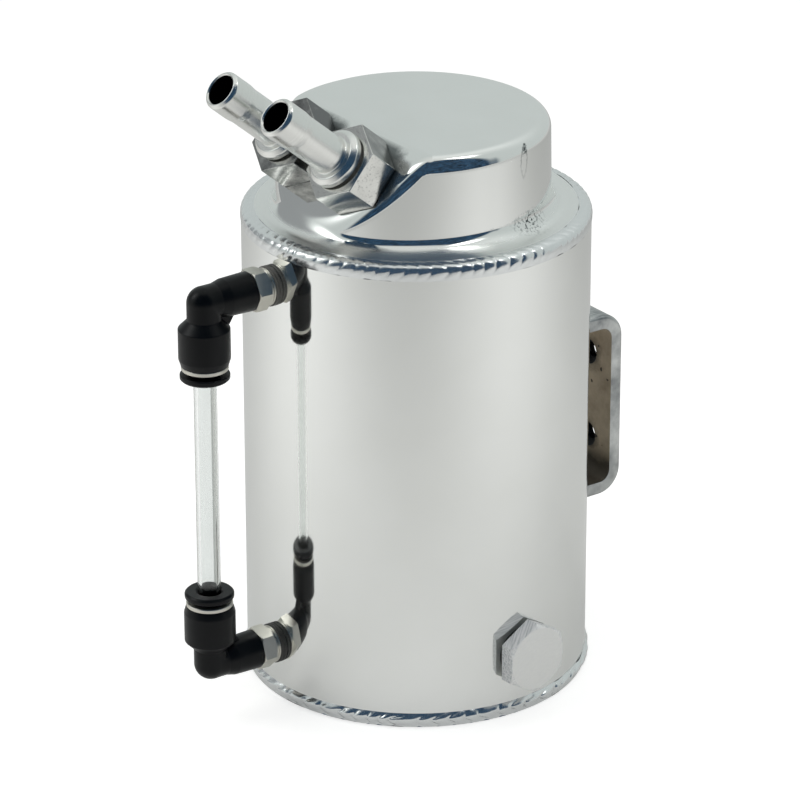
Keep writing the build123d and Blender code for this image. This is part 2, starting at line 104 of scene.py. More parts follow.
def blank_material(name):
    """Empty material, and the node function already bound to its tree."""
    material = bpy.data.materials.new(name)
    material.use_nodes = True
    material.node_tree.nodes.clear()
    return material, partial(node, material.node_tree)


print("white is", linear("#ffffff"))

# %% [markdown]
# ## The studio
# The can stood in a white tent with a dark opening on the camera's side. A mirror shows its room, so the room
# is what makes the can look polished. The floor is pale paper, lifted to white only for rays from the camera
# and through the clear tube, so it keeps the shadow. Reflections also see painted pools of light on it, and a
# painted shadow behind the can. The tent is a dome that only reflections see: grey cloth, a dark blue
# opening, and soft glows of the lamps behind it.

# %% Floor
FLOOR_SIZE = 8.0
FLOOR_LIFT, MIRRORED_LIFT = 0.62, 0.55
PAINTED_POOLS = {
    "left": {"turn": -76.0, "reach": 0.31, "spread": 0.24, "lift": 0.36},
    "right": {"turn": 62.0, "reach": 0.31, "spread": 0.24, "lift": 0.28},
    "front": {"turn": 0.0, "reach": 0.06, "spread": 0.05, "lift": 0.10},
    # The shade pool has a negative lift: a painted shadow of the can on the floor behind it.
    "shade": {"turn": 180.0, "reach": 0.06, "spread": 0.09, "lift": -0.05},
}
FAR_START, FAR_END, FAR_LIFT = 0.45, 1.1, 0.28


def flat_mesh(name, points, faces):
    """Mesh from plain points and faces."""
    mesh = bpy.data.meshes.new(name)
    mesh.from_pydata([tuple(p) for p in points], [], faces)
    return mesh


def stage_piece(name, mesh, material):
    """Object that belongs to the studio and not to the can."""
    made = bpy.data.objects.new(name, mesh)
    bpy.context.scene.collection.objects.link(made)
    mesh.materials.append(material)
    return made


# Matt paper: white to the camera and through the tube; in reflections, painted pools of light and shadow.
paper, add = blank_material("white paper sweep")
rays = add("LightPath")
direct = add("Math", (rays.outputs["Glossy Depth"], 0.5), operation="LESS_THAN")
paled = add("MapRange", (direct, 0.0, 1.0, MIRRORED_LIFT, 1.0))
through = add("Math", (rays.outputs["Is Transmission Ray"], paled), operation="MULTIPLY")
seen = add("Math", (rays.outputs["Is Camera Ray"], through), operation="MAXIMUM")
lift = add("Math", (seen, FLOOR_LIFT), operation="MULTIPLY")
place = add("TexCoord").outputs["Object"]
away = add("VectorMath", (place,), operation="LENGTH")
# Painted light: in reflections the floor glows brighter far from the can.
far = add("MapRange", (away, FAR_START, FAR_END, 0.0, FAR_LIFT))
lift = add("Math", (rays.outputs["Is Glossy Ray"], far, lift), operation="MULTIPLY_ADD")
# Each pool adds painted light that only reflections see, or painted shadow where its lift is negative.
for pool in PAINTED_POOLS.values():
    bearing = CAMERA_BEARING + math.radians(pool["turn"])
    middle = Vector((math.cos(bearing), math.sin(bearing), 0)) * pool["reach"]
    off = add("VectorMath", (place, middle), operation="DISTANCE")
    share = add("Math", (off, pool["spread"]), operation="DIVIDE")
    square = add("Math", (share, share), operation="MULTIPLY")
    fall = add("Math", (math.exp(-1), square), operation="POWER")
    bright = add("Math", (fall, pool["lift"]), operation="MULTIPLY")
    lift = add("Math", (rays.outputs["Is Glossy Ray"], bright, lift), operation="MULTIPLY_ADD")
sheet = add("BsdfDiffuse", {"Color": linear("#dcdcda")})
glow = add("Emission", {"Color": linear("#ffffff"), "Strength": lift})
both = add("AddShader", (sheet, glow))
add("OutputMaterial", (both,))
half = FLOOR_SIZE / 2
corners = [(-half, -half, 0), (half, -half, 0), (half, half, 0), (-half, half, 0)]
stage_piece("floor", flat_mesh("floor", corners, [(0, 1, 2, 3)]), paper)
print("floor", FLOOR_SIZE, "m wide with", len(PAINTED_POOLS), "pools")

# %% Tent
TENT_RADIUS = 1.6
TENT_TURNS, TENT_RISES = 72, 30
TENT_LOW = math.radians(-3.0)
WINDOW_EDGE = 8.0
OPENING = {"turn": 4.0, "half": 62.0, "top": 70.0}
GAP = {"turn": -119.0, "half": 11.0, "top": 36.0}
GLOWS = {
    "left": {"turn": -90.0, "rise": 42.0, "wide": 9.0, "high": 14.0, "bright": 4.0},
    "right": {"turn": 88.0, "rise": 68.0, "wide": 7.0, "high": 5.0, "bright": 12.0},
    "back": {"turn": 150.0, "rise": 60.0, "wide": 40.0, "high": 22.0, "bright": 0.2},
}

turns = np.linspace(0, 2 * math.pi, TENT_TURNS, endpoint=False)
rises = np.linspace(TENT_LOW, math.pi / 2, TENT_RISES + 1)[:-1]
points = [(math.cos(r) * math.cos(t), math.cos(r) * math.sin(t), math.sin(r)) for r in rises for t in turns]
points = np.array(points + [(0, 0, 1)]) * TENT_RADIUS
faces = []
for ring in range(TENT_RISES):
    for i in range(TENT_TURNS):
        a, b = ring * TENT_TURNS + i, ring * TENT_TURNS + (i + 1) % TENT_TURNS
        last = ring == TENT_RISES - 1
        faces.append((a, len(points) - 1, b) if last else (a, a + TENT_TURNS, b + TENT_TURNS, b))

# Cloth lit from behind: even grey, navy folds in the opening, a dim gap and three soft glows.
cloth, add = blank_material("tent cloth")
place = add("TexCoord").outputs["Object"]
facing = add("VectorRotate", {"Vector": place, "Angle": -CAMERA_BEARING}, rotation_type="Z_AXIS")
way = add("SeparateXYZ", (facing,)).outputs
turn = add("Math", (way["Y"], way["X"]), operation="ARCTAN2")
sine = add("Math", (way["Z"], TENT_RADIUS), operation="DIVIDE")
rise = add("Math", (sine,), operation="ARCSINE")


def window(add, turn, rise, opening):
    """Share of the tent that lies in a soft-edged window standing on the floor."""
    off = add("Math", (turn, math.radians(opening["turn"])), operation="SUBTRACT")
    side = add("Math", (off,), operation="ABSOLUTE")
    within = []
    for angle, edge in ((side, opening["half"]), (rise, opening["top"])):
        fade = (angle, math.radians(edge + WINDOW_EDGE), math.radians(edge), 0.0, 1.0)
        within.append(add("MapRange", fade, interpolation_type="SMOOTHSTEP"))
    return add("Math", within, operation="MULTIPLY")


folds = add("TexNoise", {"Vector": place, "Scale": 9.0, "Detail": 8.0, "Roughness": 0.65})
drape = add("MapRange", (folds, 0.36, 0.68, 0.0, 1.0))
navy = add("Mix", (drape, linear("#04080e"), linear("#3a5f80")), data_type="RGBA")
crest = add("MapRange", (rise, math.radians(50), math.radians(85), 0.0, 1.0))
grey = add("Mix", (crest, linear("#c8cfce"), linear("#dcdfdd")), data_type="RGBA")
dim = add("Mix", (window(add, turn, rise, GAP), grey, linear("#969a9c")), data_type="RGBA")
shown = add("Mix", (window(add, turn, rise, OPENING), dim, navy), data_type="RGBA")
total = add("Emission", {"Color": shown, "Strength": 1.0})
for glow in GLOWS.values():
    u = add("Math", (turn, math.radians(glow["turn"])), operation="SUBTRACT")
    u = add("Math", (u, math.radians(glow["wide"])), operation="DIVIDE")
    v = add("Math", (rise, math.radians(glow["rise"])), operation="SUBTRACT")
    v = add("Math", (v, math.radians(glow["high"])), operation="DIVIDE")
    v = add("Math", (v, v), operation="MULTIPLY")
    away = add("Math", (u, u, v), operation="MULTIPLY_ADD")
    fall = add("Math", (math.exp(-1), away), operation="POWER")
    bright = add("Math", (fall, glow["bright"]), operation="MULTIPLY")
    spot = add("Emission", {"Color": linear("#ffffff"), "Strength": bright})
    total = add("AddShader", (total, spot))
add("OutputMaterial", (total,))
tent = stage_piece("tent", flat_mesh("tent", points, faces), cloth)
for unseen_by in ("camera", "diffuse", "shadow", "transmission"):
    setattr(tent, "visible_" + unseen_by, False)
print("tent faces", len(faces))

# %% Lamps
LAMPS = {
    "lamp_left": {"turn": -92.0, "lift": 40.0, "far": 0.75, "wide": 0.35, "high": 0.45, "watts": 1.3},
    "lamp_right": {"turn": 56.0, "lift": 38.0, "far": 0.80, "wide": 0.32, "high": 0.45, "watts": 1.3},
    "lamp_top": {"turn": 180.0, "lift": 78.0, "far": 0.50, "wide": 0.30, "high": 0.30, "watts": 0.4},
}
LAMP_AIM = Vector((0, 0, 0.07))
for name, lamp in LAMPS.items():
    light = bpy.data.lights.new(name, "AREA")
    light.shape = "RECTANGLE"
    light.size = lamp["wide"]
    light.size_y = lamp["high"]
    light.energy = lamp["watts"]
    bearing = CAMERA_BEARING + math.radians(lamp["turn"])
    rise = math.radians(lamp["lift"])
    way = Vector((math.cos(bearing) * math.cos(rise), math.sin(bearing) * math.cos(rise), math.sin(rise)))
    made = bpy.data.objects.new(name, light)
    turn = way.to_track_quat("Z", "Y").to_matrix().to_4x4()
    made.matrix_world = Matrix.Translation(LAMP_AIM + way * lamp["far"]) @ turn
    made.visible_glossy = False
    bpy.context.scene.collection.objects.link(made)
print("lamps", list(LAMPS))

# %% World
world = bpy.data.worlds.new("white tent")
world.use_nodes = True
bpy.context.scene.world = world
world.node_tree.nodes.clear()
add = partial(node, world.node_tree)
rays = add("LightPath")
direct, through = rays.outputs["Is Camera Ray"], rays.outputs["Is Transmission Ray"]
seen = add("Math", (direct, through), operation="MAXIMUM")
cloth_tone = add("Mix", (rays.outputs["Is Glossy Ray"], linear("#adafaf"), linear("#c8cfce")),
                 data_type="RGBA")
shown = add("Mix", (seen, cloth_tone, linear("#ffffff")), data_type="RGBA")
sky = add("Background", {"Color": shown, "Strength": 1.0})
add("OutputWorld", (sky,))
bpy.context.scene.view_settings.view_transform = "Standard"

# %% [markdown]
# ## Polished aluminium
# The wall, the base and the head are aluminium buffed to a mirror on a wheel. The eye sees clear reflections
# with a thin haze over them, a slight wobble where the sheet isn't flat, faint wheel marks, and a shoulder
# that is duller, because the wheel reaches it less well. Near the turret's foot are a patch of pits and one
# dried drip, and soot lies above the bungs. Painted maps could carry such marks. Here they are masks worked
# out from places on the can in millimetres, so they keep their size and need no image.

# %% Haze and pits
PIT_PLACE = Vector((33.8, 12.0, 131.0)) * MM
PIT_HEART, PIT_REACH = 1.5 * MM, 8.5 * MM
PIT_FLATTENING = 2.6
PIT_SIZE = 0.7


def per_metre(millimetres):
    """Texture scale that gives features of that size."""
    return 1000.0 / millimetres


# Aluminium buffed on a wheel: a mirror with a thin, cloudy haze.
polish, add = blank_material("polished aluminium")
place = add("TexCoord").outputs["Object"]
cloud = add("TexNoise", {"Vector": place, "Scale": per_metre(14.0), "Detail": 4.0})
haze = add("MapRange", (cloud, 0.35, 0.7, 0.045, 0.085))
from_pits = add("VectorMath", (place, PIT_PLACE), operation="SUBTRACT")
pit_band = add("VectorMath", (from_pits, (1.0, 1.0, PIT_FLATTENING)), operation="MULTIPLY")
near_pits = add("VectorMath", (pit_band,), operation="LENGTH")
pit_zone = add("MapRange", (near_pits, PIT_HEART, PIT_REACH, 1.0, 0.0))
grains = add("TexNoise", {"Vector": place, "Scale": per_metre(PIT_SIZE), "Detail": 2.0})
grain_mask = add("MapRange", (grains, 0.53, 0.6, 0.0, 1.0))
pits = add("Math", (pit_zone, grain_mask), operation="MULTIPLY")
print("pits within", PIT_REACH / MM, "mm")

# %% The dried drip
DRIP_PLACE = Vector((33.07, 9.48, 147.3)) * MM
DRIP_HALF_WIDTH, DRIP_HALF_HEIGHT = 1.4 * MM, 4.4 * MM
DRIP_LEAN, DRIP_SLANT = 0.4, 1.28
DRIP_EDGE, DRIP_DEPTH = 0.85, 4.0 * MM

from_drip = add("VectorMath", (place, DRIP_PLACE), operation="SUBTRACT")
drip_way = Vector((DRIP_PLACE.x, DRIP_PLACE.y, 0)).normalized()
drip_wide = (Vector((-drip_way.y, drip_way.x, 0)) + DRIP_SLANT * drip_way) / DRIP_HALF_WIDTH
drip_u = add("VectorMath", (from_drip, drip_wide), operation="DOT_PRODUCT")
drip_up = (Vector((0, 0, 1)) - DRIP_LEAN * drip_way).normalized() / DRIP_HALF_HEIGHT
drip_v = add("VectorMath", (from_drip, drip_up), operation="DOT_PRODUCT")
drip_out = add("VectorMath", (from_drip, drip_way), operation="DOT_PRODUCT")
on_front = add("Math", (drip_out, -DRIP_DEPTH), operation="GREATER_THAN")
paler = add("MapRange", (drip_v, -0.6, 0.4, 0.35, 1.0))
shape = add("CombineXYZ", (drip_u, drip_v))
ragged = add("Math", (grains, 0.5), operation="SUBTRACT")
drip_size = add("VectorMath", (shape,), operation="LENGTH")
drip_far = add("Math", (ragged, 0.6, drip_size), operation="MULTIPLY_ADD")
rim = add("Math", (drip_far, DRIP_EDGE), operation="SUBTRACT")
rim = add("Math", (rim,), operation="ABSOLUTE")
drip_line = add("MapRange", (rim, 0.06, 0.18, 0.55, 0.0))
drip_inside = add("Math", (drip_far, DRIP_EDGE), operation="LESS_THAN")
drip_head = add("MapRange", (drip_v, 0.25, 0.5, 0.0, 1.0))
drip_specks = add("MapRange", (grains, 0.4, 0.55, 0.95, 0.1))
drip_dark = add("Math", (drip_head, drip_specks), operation="MULTIPLY")
drip_dark = add("Math", (drip_dark, drip_inside), operation="MULTIPLY")
drip = add("Math", (drip_line, drip_dark), operation="MAXIMUM")
drip = add("Math", (drip, on_front), operation="MULTIPLY")
drip = add("Math", (drip, paler), operation="MULTIPLY")
marks = add("Math", (pits, drip), operation="MAXIMUM")
print("drip", 2 * DRIP_HALF_HEIGHT / MM, "mm tall")

# %% Soot above the bungs
FACET_TILT = math.radians(40.0)
FACET_ORIGIN = np.array((0.0, -25.3, 144.0))
FACET_WAY = np.array((0.0, -math.cos(FACET_TILT), math.sin(FACET_TILT)))
HOSE_SPACING = 24.4
SOOT_TURN = math.radians(45)
SOOT_WAY = (math.cos(SOOT_TURN), math.sin(SOOT_TURN) * math.sin(FACET_TILT),
            math.sin(SOOT_TURN) * math.cos(FACET_TILT))
SOOT_RAGGED, SOOT_FULL, SOOT_END, SOOT_STRENGTH = 9.0 * MM, 15.5 * MM, 19.0 * MM, 0.85

smear = add("TexNoise", {"Vector": place, "Scale": per_metre(5.0), "Detail": 4.0, "Roughness": 0.65})
for offset in (-HOSE_SPACING / 2, HOSE_SPACING / 2):
    foot = Vector(FACET_ORIGIN + (offset, 0, 0)) * MM
    from_foot = add("VectorMath", (place, foot), operation="SUBTRACT")
    height = add("VectorMath", (from_foot, FACET_WAY), operation="DOT_PRODUCT")
    side = add("VectorMath", (from_foot, SOOT_WAY), operation="DOT_PRODUCT")
    reach = add("VectorMath", (from_foot,), operation="LENGTH")
    edge = add("Math", (smear, SOOT_RAGGED, reach), operation="MULTIPLY_ADD")
    near = add("MapRange", (edge, SOOT_FULL, SOOT_END, SOOT_STRENGTH, 0.0))
    above = add("MapRange", (side, 1.0 * MM, 6.0 * MM, 0.0, 1.0))
    flush = add("MapRange", (height, -1.2 * MM, -0.4 * MM, 0.0, 1.0))
    soot_and_shade = add("Math", (near, above), operation="MULTIPLY")
    soot_and_shade = add("Math", (soot_and_shade, flush), operation="MULTIPLY")
    marks = add("Math", (marks, soot_and_shade), operation="MAXIMUM")
print("soot reaches", SOOT_END / MM, "mm")

# %% Dull shoulder, wheel marks and the whole finish
WOBBLE_SIZE = 9.0
# Real wheel marks are finer. These are as coarse as they must be to show.
WHEEL_MARK = 0.35
SHOULDER_STARTS, SHOULDER_DULL = 125.2 * MM, 126.0 * MM
TURRET_STARTS, TURRET_BRIGHT = 129.0 * MM, 130.2 * MM
DULLNESS, MARK_ROUGHNESS = 0.24, 0.35

clean = add("Mix", (cloud, linear("#eaebe8"), linear("#f1f2f0")), data_type="RGBA")
shade = add("Mix", (marks, clean, linear("#4c5354")), data_type="RGBA")
level = add("SeparateXYZ", (place,)).outputs["Z"]
on_shoulder = add("MapRange", (level, SHOULDER_STARTS, SHOULDER_DULL, 0.0, DULLNESS))
under_turret = add("MapRange", (level, TURRET_STARTS, TURRET_BRIGHT, 1.0, 0.0))
satin = add("Math", (on_shoulder, under_turret, haze), operation="MULTIPLY_ADD")
rough = add("Math", (marks, MARK_ROUGHNESS, satin), operation="MULTIPLY_ADD")
rolled = add("Mapping", {"Vector": place, "Scale": (1.0, 1.0, 0.15)})
wobble = add("TexNoise", {"Vector": rolled, "Scale": per_metre(WOBBLE_SIZE), "Detail": 1.0})
sheet_wave = add("Bump", {"Height": wobble, "Strength": 1.0, "Distance": 0.02 * MM})
around = add("Mapping", {"Vector": place, "Scale": (0.03, 0.03, 1.0)})
wheel = add("TexNoise", {"Vector": around, "Scale": per_metre(WHEEL_MARK), "Detail": 2.0})
wheel_marks = add("Bump", {"Height": wheel, "Strength": 0.5, "Distance": 0.0006 * MM,
                           "Normal": sheet_wave})
pit_holes = add("Bump", {"Height": marks, "Strength": 0.6, "Distance": 0.08 * MM, "Normal": wheel_marks},
                invert=True)
shader = add("BsdfPrincipled", {"Base Color": shade, "Roughness": rough, "Normal": pit_holes,
                                "Metallic": 0.98})
add("OutputMaterial", (shader,))
print("material", polish.name)

# %% [markdown]
# ## The other finishes
# Each has its own making: the weld is a cast ripple, buffed on top, with dirt and painted crease shade along
# its toes; the hose bungs and bosses are sawn bar left plain, with painted shade at the bungs' feet and on
# their upward flats; the tails are turned, so fine rings run round them, and their bores are painted dark as
# shade;
# the plug is milled and wiped; the strap is brushed bar with a tan film inside its bend, and painted shade
# low in the bend and round its holes. The elbows are moulded nylon, the studs nickel-plated brass, and the
# sight tube clear plastic. One shared grey metal would be quicker, but the eye tells these pieces apart by
# their finish alone, so each gets its own short chain of nodes.

# %% Weld
# Cast ripples buffed on top: bright crests, and a thin broken dark line along both toes, dirt and painted
# shade.
weld_metal, add = blank_material("buffed weld aluminium")
place = add("TexCoord").outputs["Object"]
across = add("Attribute", attribute_name="across").outputs["Fac"]
from_middle = add("Math", (across, 0.5), operation="SUBTRACT")
to_toe = add("Math", (from_middle,), operation="ABSOLUTE")
toe_noise = add("TexNoise", {"Vector": place, "Scale": per_metre(6.0), "Detail": 3.0})
reach = add("MapRange", (toe_noise, 0.46, 0.7, 0.505, 0.45))
toe = add("Math", (to_toe, reach), operation="SUBTRACT")
# The dark toe line is partly dirt and partly painted shade in the creases where the bead meets wall and
# shoulder.
toe_line = add("MapRange", (toe, 0.0, 0.02, 0.0, 1.0))
shade = add("Mix", (toe_line, linear("#e6e8e8"), linear("#3b3d40")), data_type="RGBA")
speck = add("TexNoise", {"Vector": place, "Scale": per_metre(1.2), "Detail": 2.0})
rough = add("MapRange", (speck, 0.3, 0.7, 0.17, 0.27))
shader = add("BsdfPrincipled", {"Base Color": shade, "Roughness": rough, "Metallic": 0.96})
add("OutputMaterial", (shader,))
print("material", weld_metal.name)

# %% Plain bar
# Sawn bar left as it came: half-bright faces with flecks, painted shade at the foot and on the upward flats,
# and a darker, mottled left bung.
sawn, add = blank_material("plain bar aluminium")
place = add("TexCoord").outputs["Object"]
stain = add("TexNoise", {"Vector": place, "Scale": per_metre(6.0), "Detail": 5.0, "Roughness": 0.6})
shade = add("Mix", (stain, linear("#c9c9c5"), linear("#f0f0ec")), data_type="RGBA")
fleck = add("TexNoise", {"Vector": place, "Scale": per_metre(0.5), "Detail": 2.0, "Roughness": 0.6})
flecks = add("MapRange", (fleck, 0.58, 0.72, 0.0, 0.55))
from_facet = add("VectorMath", (place, Vector(FACET_ORIGIN) * MM), operation="SUBTRACT")
height = add("VectorMath", (from_facet, FACET_WAY), operation="DOT_PRODUCT")
# Painted shade: a dark, ragged line where the bung stands on the facet.
foot = add("Math", (stain, -1.6 * MM, height), operation="MULTIPLY_ADD")
foot_shade_line = add("MapRange", (foot, -0.7 * MM, 0.0, 0.9, 0.0))
apart = add("SeparateXYZ", (place,)).outputs["X"]
left_side = add("MapRange", (apart, 1.0 * MM, -1.0 * MM, 0.0, 1.1))
# The left bung is darker and mottled.
film_and_shade = add("MapRange", (stain, 0.3, 0.6, 0.85, 0.25))
film_and_shade = add("Math", (film_and_shade, left_side), operation="MULTIPLY")
# Painted shade: the upward flats are darker, mottled by the stain.
shaded_top = add("Attribute", attribute_name="shaded_top").outputs["Fac"]
soot_and_shade = add("MapRange", (stain, 0.3, 0.7, 0.8, 0.4))
film_and_shade = add("Math", (shaded_top, soot_and_shade, film_and_shade), operation="MULTIPLY_ADD", use_clamp=True)
dirt_and_shade = add("Math", (flecks, foot_shade_line), operation="MAXIMUM")
dirt_and_shade = add("Math", (dirt_and_shade, film_and_shade), operation="MAXIMUM")
shade = add("Mix", (dirt_and_shade, shade, linear("#4c4e4f")), data_type="RGBA")
rough = add("MapRange", (stain, 0.3, 0.7, 0.18, 0.1))
skin = add("Bump", {"Height": fleck, "Strength": 0.2, "Distance": 0.01 * MM})
shader = add("BsdfPrincipled", {"Base Color": shade, "Roughness": rough, "Normal": skin,
                                "Metallic": 0.97})
add("OutputMaterial", (shader,))
print("material", sawn.name)

# %% Turned bar
# Lathe-turned: bright rings and a bore painted dark as shade.
# Real tool marks are finer; these are as coarse as must show.
turned_metal, add = blank_material("turned aluminium")
along = add("Attribute", attribute_name="along").outputs["Fac"]
spread = add("CombineXYZ", (along,))
rings = add("TexNoise", {"Vector": spread, "Scale": per_metre(0.5), "Detail": 3.0})
shade = add("Mix", (rings, linear("#e2e2de"), linear("#f4f4f1")), data_type="RGBA")
rough = add("MapRange", (rings, 0.3, 0.7, 0.28, 0.22))
cuts = add("Bump", {"Height": rings, "Strength": 0.5, "Distance": 0.004 * MM})
# Painted shade: the bore is dark, up to a millimetre short of the tip.
shaded_recess = add("Attribute", attribute_name="shaded_recess").outputs["Fac"]
shade = add("Mix", (shaded_recess, shade, linear("#4a4f55")), data_type="RGBA")
shader = add("BsdfPrincipled", {"Base Color": shade, "Roughness": rough, "Normal": cuts, "Metallic": 1.0})
add("OutputMaterial", (shader,))
print("material", turned_metal.name)

# %% Milled plug
STROKE_WAY, STROKE_STRETCH = Vector((-0.55, 0.72, 0.42)), 16.0
# Milled and wiped: a soft pale face, and flats scored by a brush in one direction.
milled, add = blank_material("milled plug aluminium")
place = add("TexCoord").outputs["Object"]
stroke_turn = Vector((1, 0, 0)).rotation_difference(STROKE_WAY).to_euler()
strokes = add("Mapping", {"Vector": place, "Rotation": stroke_turn, "Scale": (STROKE_STRETCH, 1.0, 1.0)},
              vector_type="TEXTURE")
lines = add("TexNoise", {"Vector": strokes, "Scale": per_metre(0.5), "Detail": 3.0})
brushed = add("Attribute", attribute_name="brushed").outputs["Fac"]
wiped = add("Mix", (lines, linear("#ececea"), linear("#f6f6f3")), data_type="RGBA")
bite = add("MapRange", (lines, 0.36, 0.6, 0.0, 1.0))
scored = add("Mix", (bite, linear("#cdd0d1"), linear("#ffffff")), data_type="RGBA")
shade = add("Mix", (brushed, wiped, scored), data_type="RGBA")
rough = add("MapRange", (brushed, 0.0, 1.0, 0.5, 0.42))
metal = add("MapRange", (brushed, 0.0, 1.0, 0.55, 0.05))
relief = add("Math", (lines, brushed), operation="MULTIPLY")
cuts = add("Bump", {"Height": relief, "Strength": 1.0, "Distance": 0.06 * MM})
shader = add("BsdfPrincipled", {"Base Color": shade, "Roughness": rough, "Normal": cuts,
                                "Metallic": metal})
add("OutputMaterial", (shader,))
print("material", milled.name)

# %% Brushed strap
STRAP_MIDDLE, HOLE_SPACING = 61.0, 24.0
BEND_SHADE_TOP, BEND_SHADE_FLOOR = 50.0 * MM, 41.0 * MM
# Brushed bar: worn grey outside; inside its bend a tan film and spots, and painted shade low in the bend,
# round the holes and on the hole walls.
strap_metal, add = blank_material("brushed strap aluminium")
place = add("TexCoord").outputs["Object"]
inside = add("Attribute", attribute_name="inside").outputs["Fac"]
film_and_shade = add("TexNoise", {"Vector": place, "Scale": per_metre(7.0), "Detail": 5.0, "Roughness": 0.65})
tan = add("Mix", (film_and_shade, linear("#7c6b57"), linear("#e0d0b8")), data_type="RGBA")
height = add("SeparateXYZ", (place,)).outputs["Z"]
# Painted shade: darker low in the bend, where the web meets the lower leg, with a ragged edge.
bend_shade = add("MapRange", (height, BEND_SHADE_TOP, BEND_SHADE_FLOOR, 0.0, 1.0))
bend_shade_edge = add("Math", (film_and_shade, 0.8, bend_shade), operation="MULTIPLY_ADD")
dirt_and_shade = add("MapRange", (bend_shade_edge, 0.7, 1.25, 0.0, 0.85))
spots = add("TexNoise", {"Vector": place, "Scale": per_metre(2.2), "Detail": 1.0})
spot_mask = add("MapRange", (spots, 0.69, 0.72, 0.0, 0.9))
shaded_recess = add("Attribute", attribute_name="shaded_recess").outputs["Fac"]
dark = add("Math", (dirt_and_shade, spot_mask), operation="MAXIMUM")
flat = add("VectorMath", (place, (1.0, 0.0, 1.0)), operation="MULTIPLY")
# Painted shade: a dark ragged ring round each hole, over its countersink.
for level in (STRAP_MIDDLE - HOLE_SPACING / 2, STRAP_MIDDLE + HOLE_SPACING / 2):
    off = add("VectorMath", (flat, (0.0, 0.0, level * MM)), operation="DISTANCE")
    ring = add("Math", (film_and_shade, 6.0 * MM, off), operation="MULTIPLY_ADD")
    soot_and_shade = add("MapRange", (ring, 5.6 * MM, 9.0 * MM, 0.85, 0.0))
    dark = add("Math", (dark, soot_and_shade), operation="MAXIMUM")
grime_and_shade = add("Mix", (dark, tan, linear("#2a2723")), data_type="RGBA")
brush = add("Mapping", {"Vector": place, "Scale": (1.0, 0.05, 0.05)})
lines = add("TexNoise", {"Vector": brush, "Scale": per_metre(0.4), "Detail": 3.0})
worn = add("Math", (film_and_shade, lines), operation="ADD")
wear = add("MapRange", (worn, 0.75, 1.25, 0.0, 1.0))
bright = add("Mix", (wear, linear("#85888a"), linear("#d6d8d6")), data_type="RGBA")
toned = add("Mix", (inside, bright, grime_and_shade), data_type="RGBA")
# Painted shade: the hole walls are dark.
shade = add("Mix", (shaded_recess, toned, linear("#1f2022")), data_type="RGBA")
metal = add("MapRange", (inside, 0.0, 1.0, 1.0, 0.55))
grubby = add("Math", (inside, shaded_recess), operation="MAXIMUM")
rough = add("MapRange", (grubby, 0.0, 1.0, 0.36, 0.6))
cuts = add("Bump", {"Height": lines, "Strength": 0.3, "Distance": 0.02 * MM})
shader = add("BsdfPrincipled", {"Base Color": shade, "Roughness": rough, "Metallic": metal,
                                "Normal": cuts})
add("OutputMaterial", (shader,))
print("material", strap_metal.name)

# %% Plated brass and spring steel
# Nickel over brass: a warm, satin metal with faint stains.
plated, add = blank_material("nickel-plated brass")
place = add("TexCoord").outputs["Object"]
stain = add("TexNoise", {"Vector": place, "Scale": per_metre(1.5), "Detail": 3.0})
shade = add("Mix", (stain, linear("#d3d0c6"), linear("#dedbd2")), data_type="RGBA")
rough = add("MapRange", (stain, 0.3, 0.7, 0.36, 0.46))
shader = add("BsdfPrincipled", {"Base Color": shade, "Roughness": rough, "Metallic": 1.0})
add("OutputMaterial", (shader,))

# Spring steel: cool and half-bright, seen only if the elbow is opened.
spring, add = blank_material("spring steel")
place = add("TexCoord").outputs["Object"]
stain = add("TexNoise", {"Vector": place, "Scale": per_metre(1.0), "Detail": 2.0})
rough = add("MapRange", (stain, 0.3, 0.7, 0.2, 0.32))
shader = add("BsdfPrincipled", {"Base Color": linear("#b9bcbd"), "Roughness": rough, "Metallic": 1.0})
add("OutputMaterial", (shader,))
print("materials", plated.name, "and", spring.name)

# %% Nylon and rubber
# Moulded nylon: near black, with a soft, uneven gloss and the mould's grain, drawn coarse enough to show.
nylon, add = blank_material("moulded black nylon")
place = add("TexCoord").outputs["Object"]
grain = add("TexNoise", {"Vector": place, "Scale": per_metre(0.45), "Detail": 2.0})
bloom = add("TexNoise", {"Vector": place, "Scale": per_metre(6.0), "Detail": 3.0})
shade = add("Mix", (bloom, linear("#020304"), linear("#080a0e")), data_type="RGBA")
rough = add("MapRange", (bloom, 0.3, 0.7, 0.3, 0.42))
skin = add("Bump", {"Height": grain, "Strength": 0.3, "Distance": 0.02 * MM})
shader = add("BsdfPrincipled", {"Base Color": shade, "Roughness": rough, "Normal": skin, "IOR": 1.53,
                                "Specular IOR Level": 0.2})
add("OutputMaterial", (shader,))

# Seal rubber: dull and dark with dust, and greyer on the upper rings by a ramp with height.
rubber, add = blank_material("seal rubber")
place = add("TexCoord").outputs["Object"]
dust = add("TexNoise", {"Vector": place, "Scale": per_metre(0.8), "Detail": 3.0})
height = add("SeparateXYZ", (place,)).outputs["Z"]
toned = add("MapRange", (height, 60.0 * MM, 110.0 * MM, 0.0, 0.4))
bloom = add("Math", (dust, 0.3, toned), operation="MULTIPLY_ADD")
shade = add("Mix", (bloom, linear("#262625"), linear("#76746f")), data_type="RGBA")
shader = add("BsdfPrincipled", {"Base Color": shade, "Roughness": 0.5, "IOR": 1.5})
add("OutputMaterial", (shader,))
print("materials", nylon.name, "and", rubber.name)

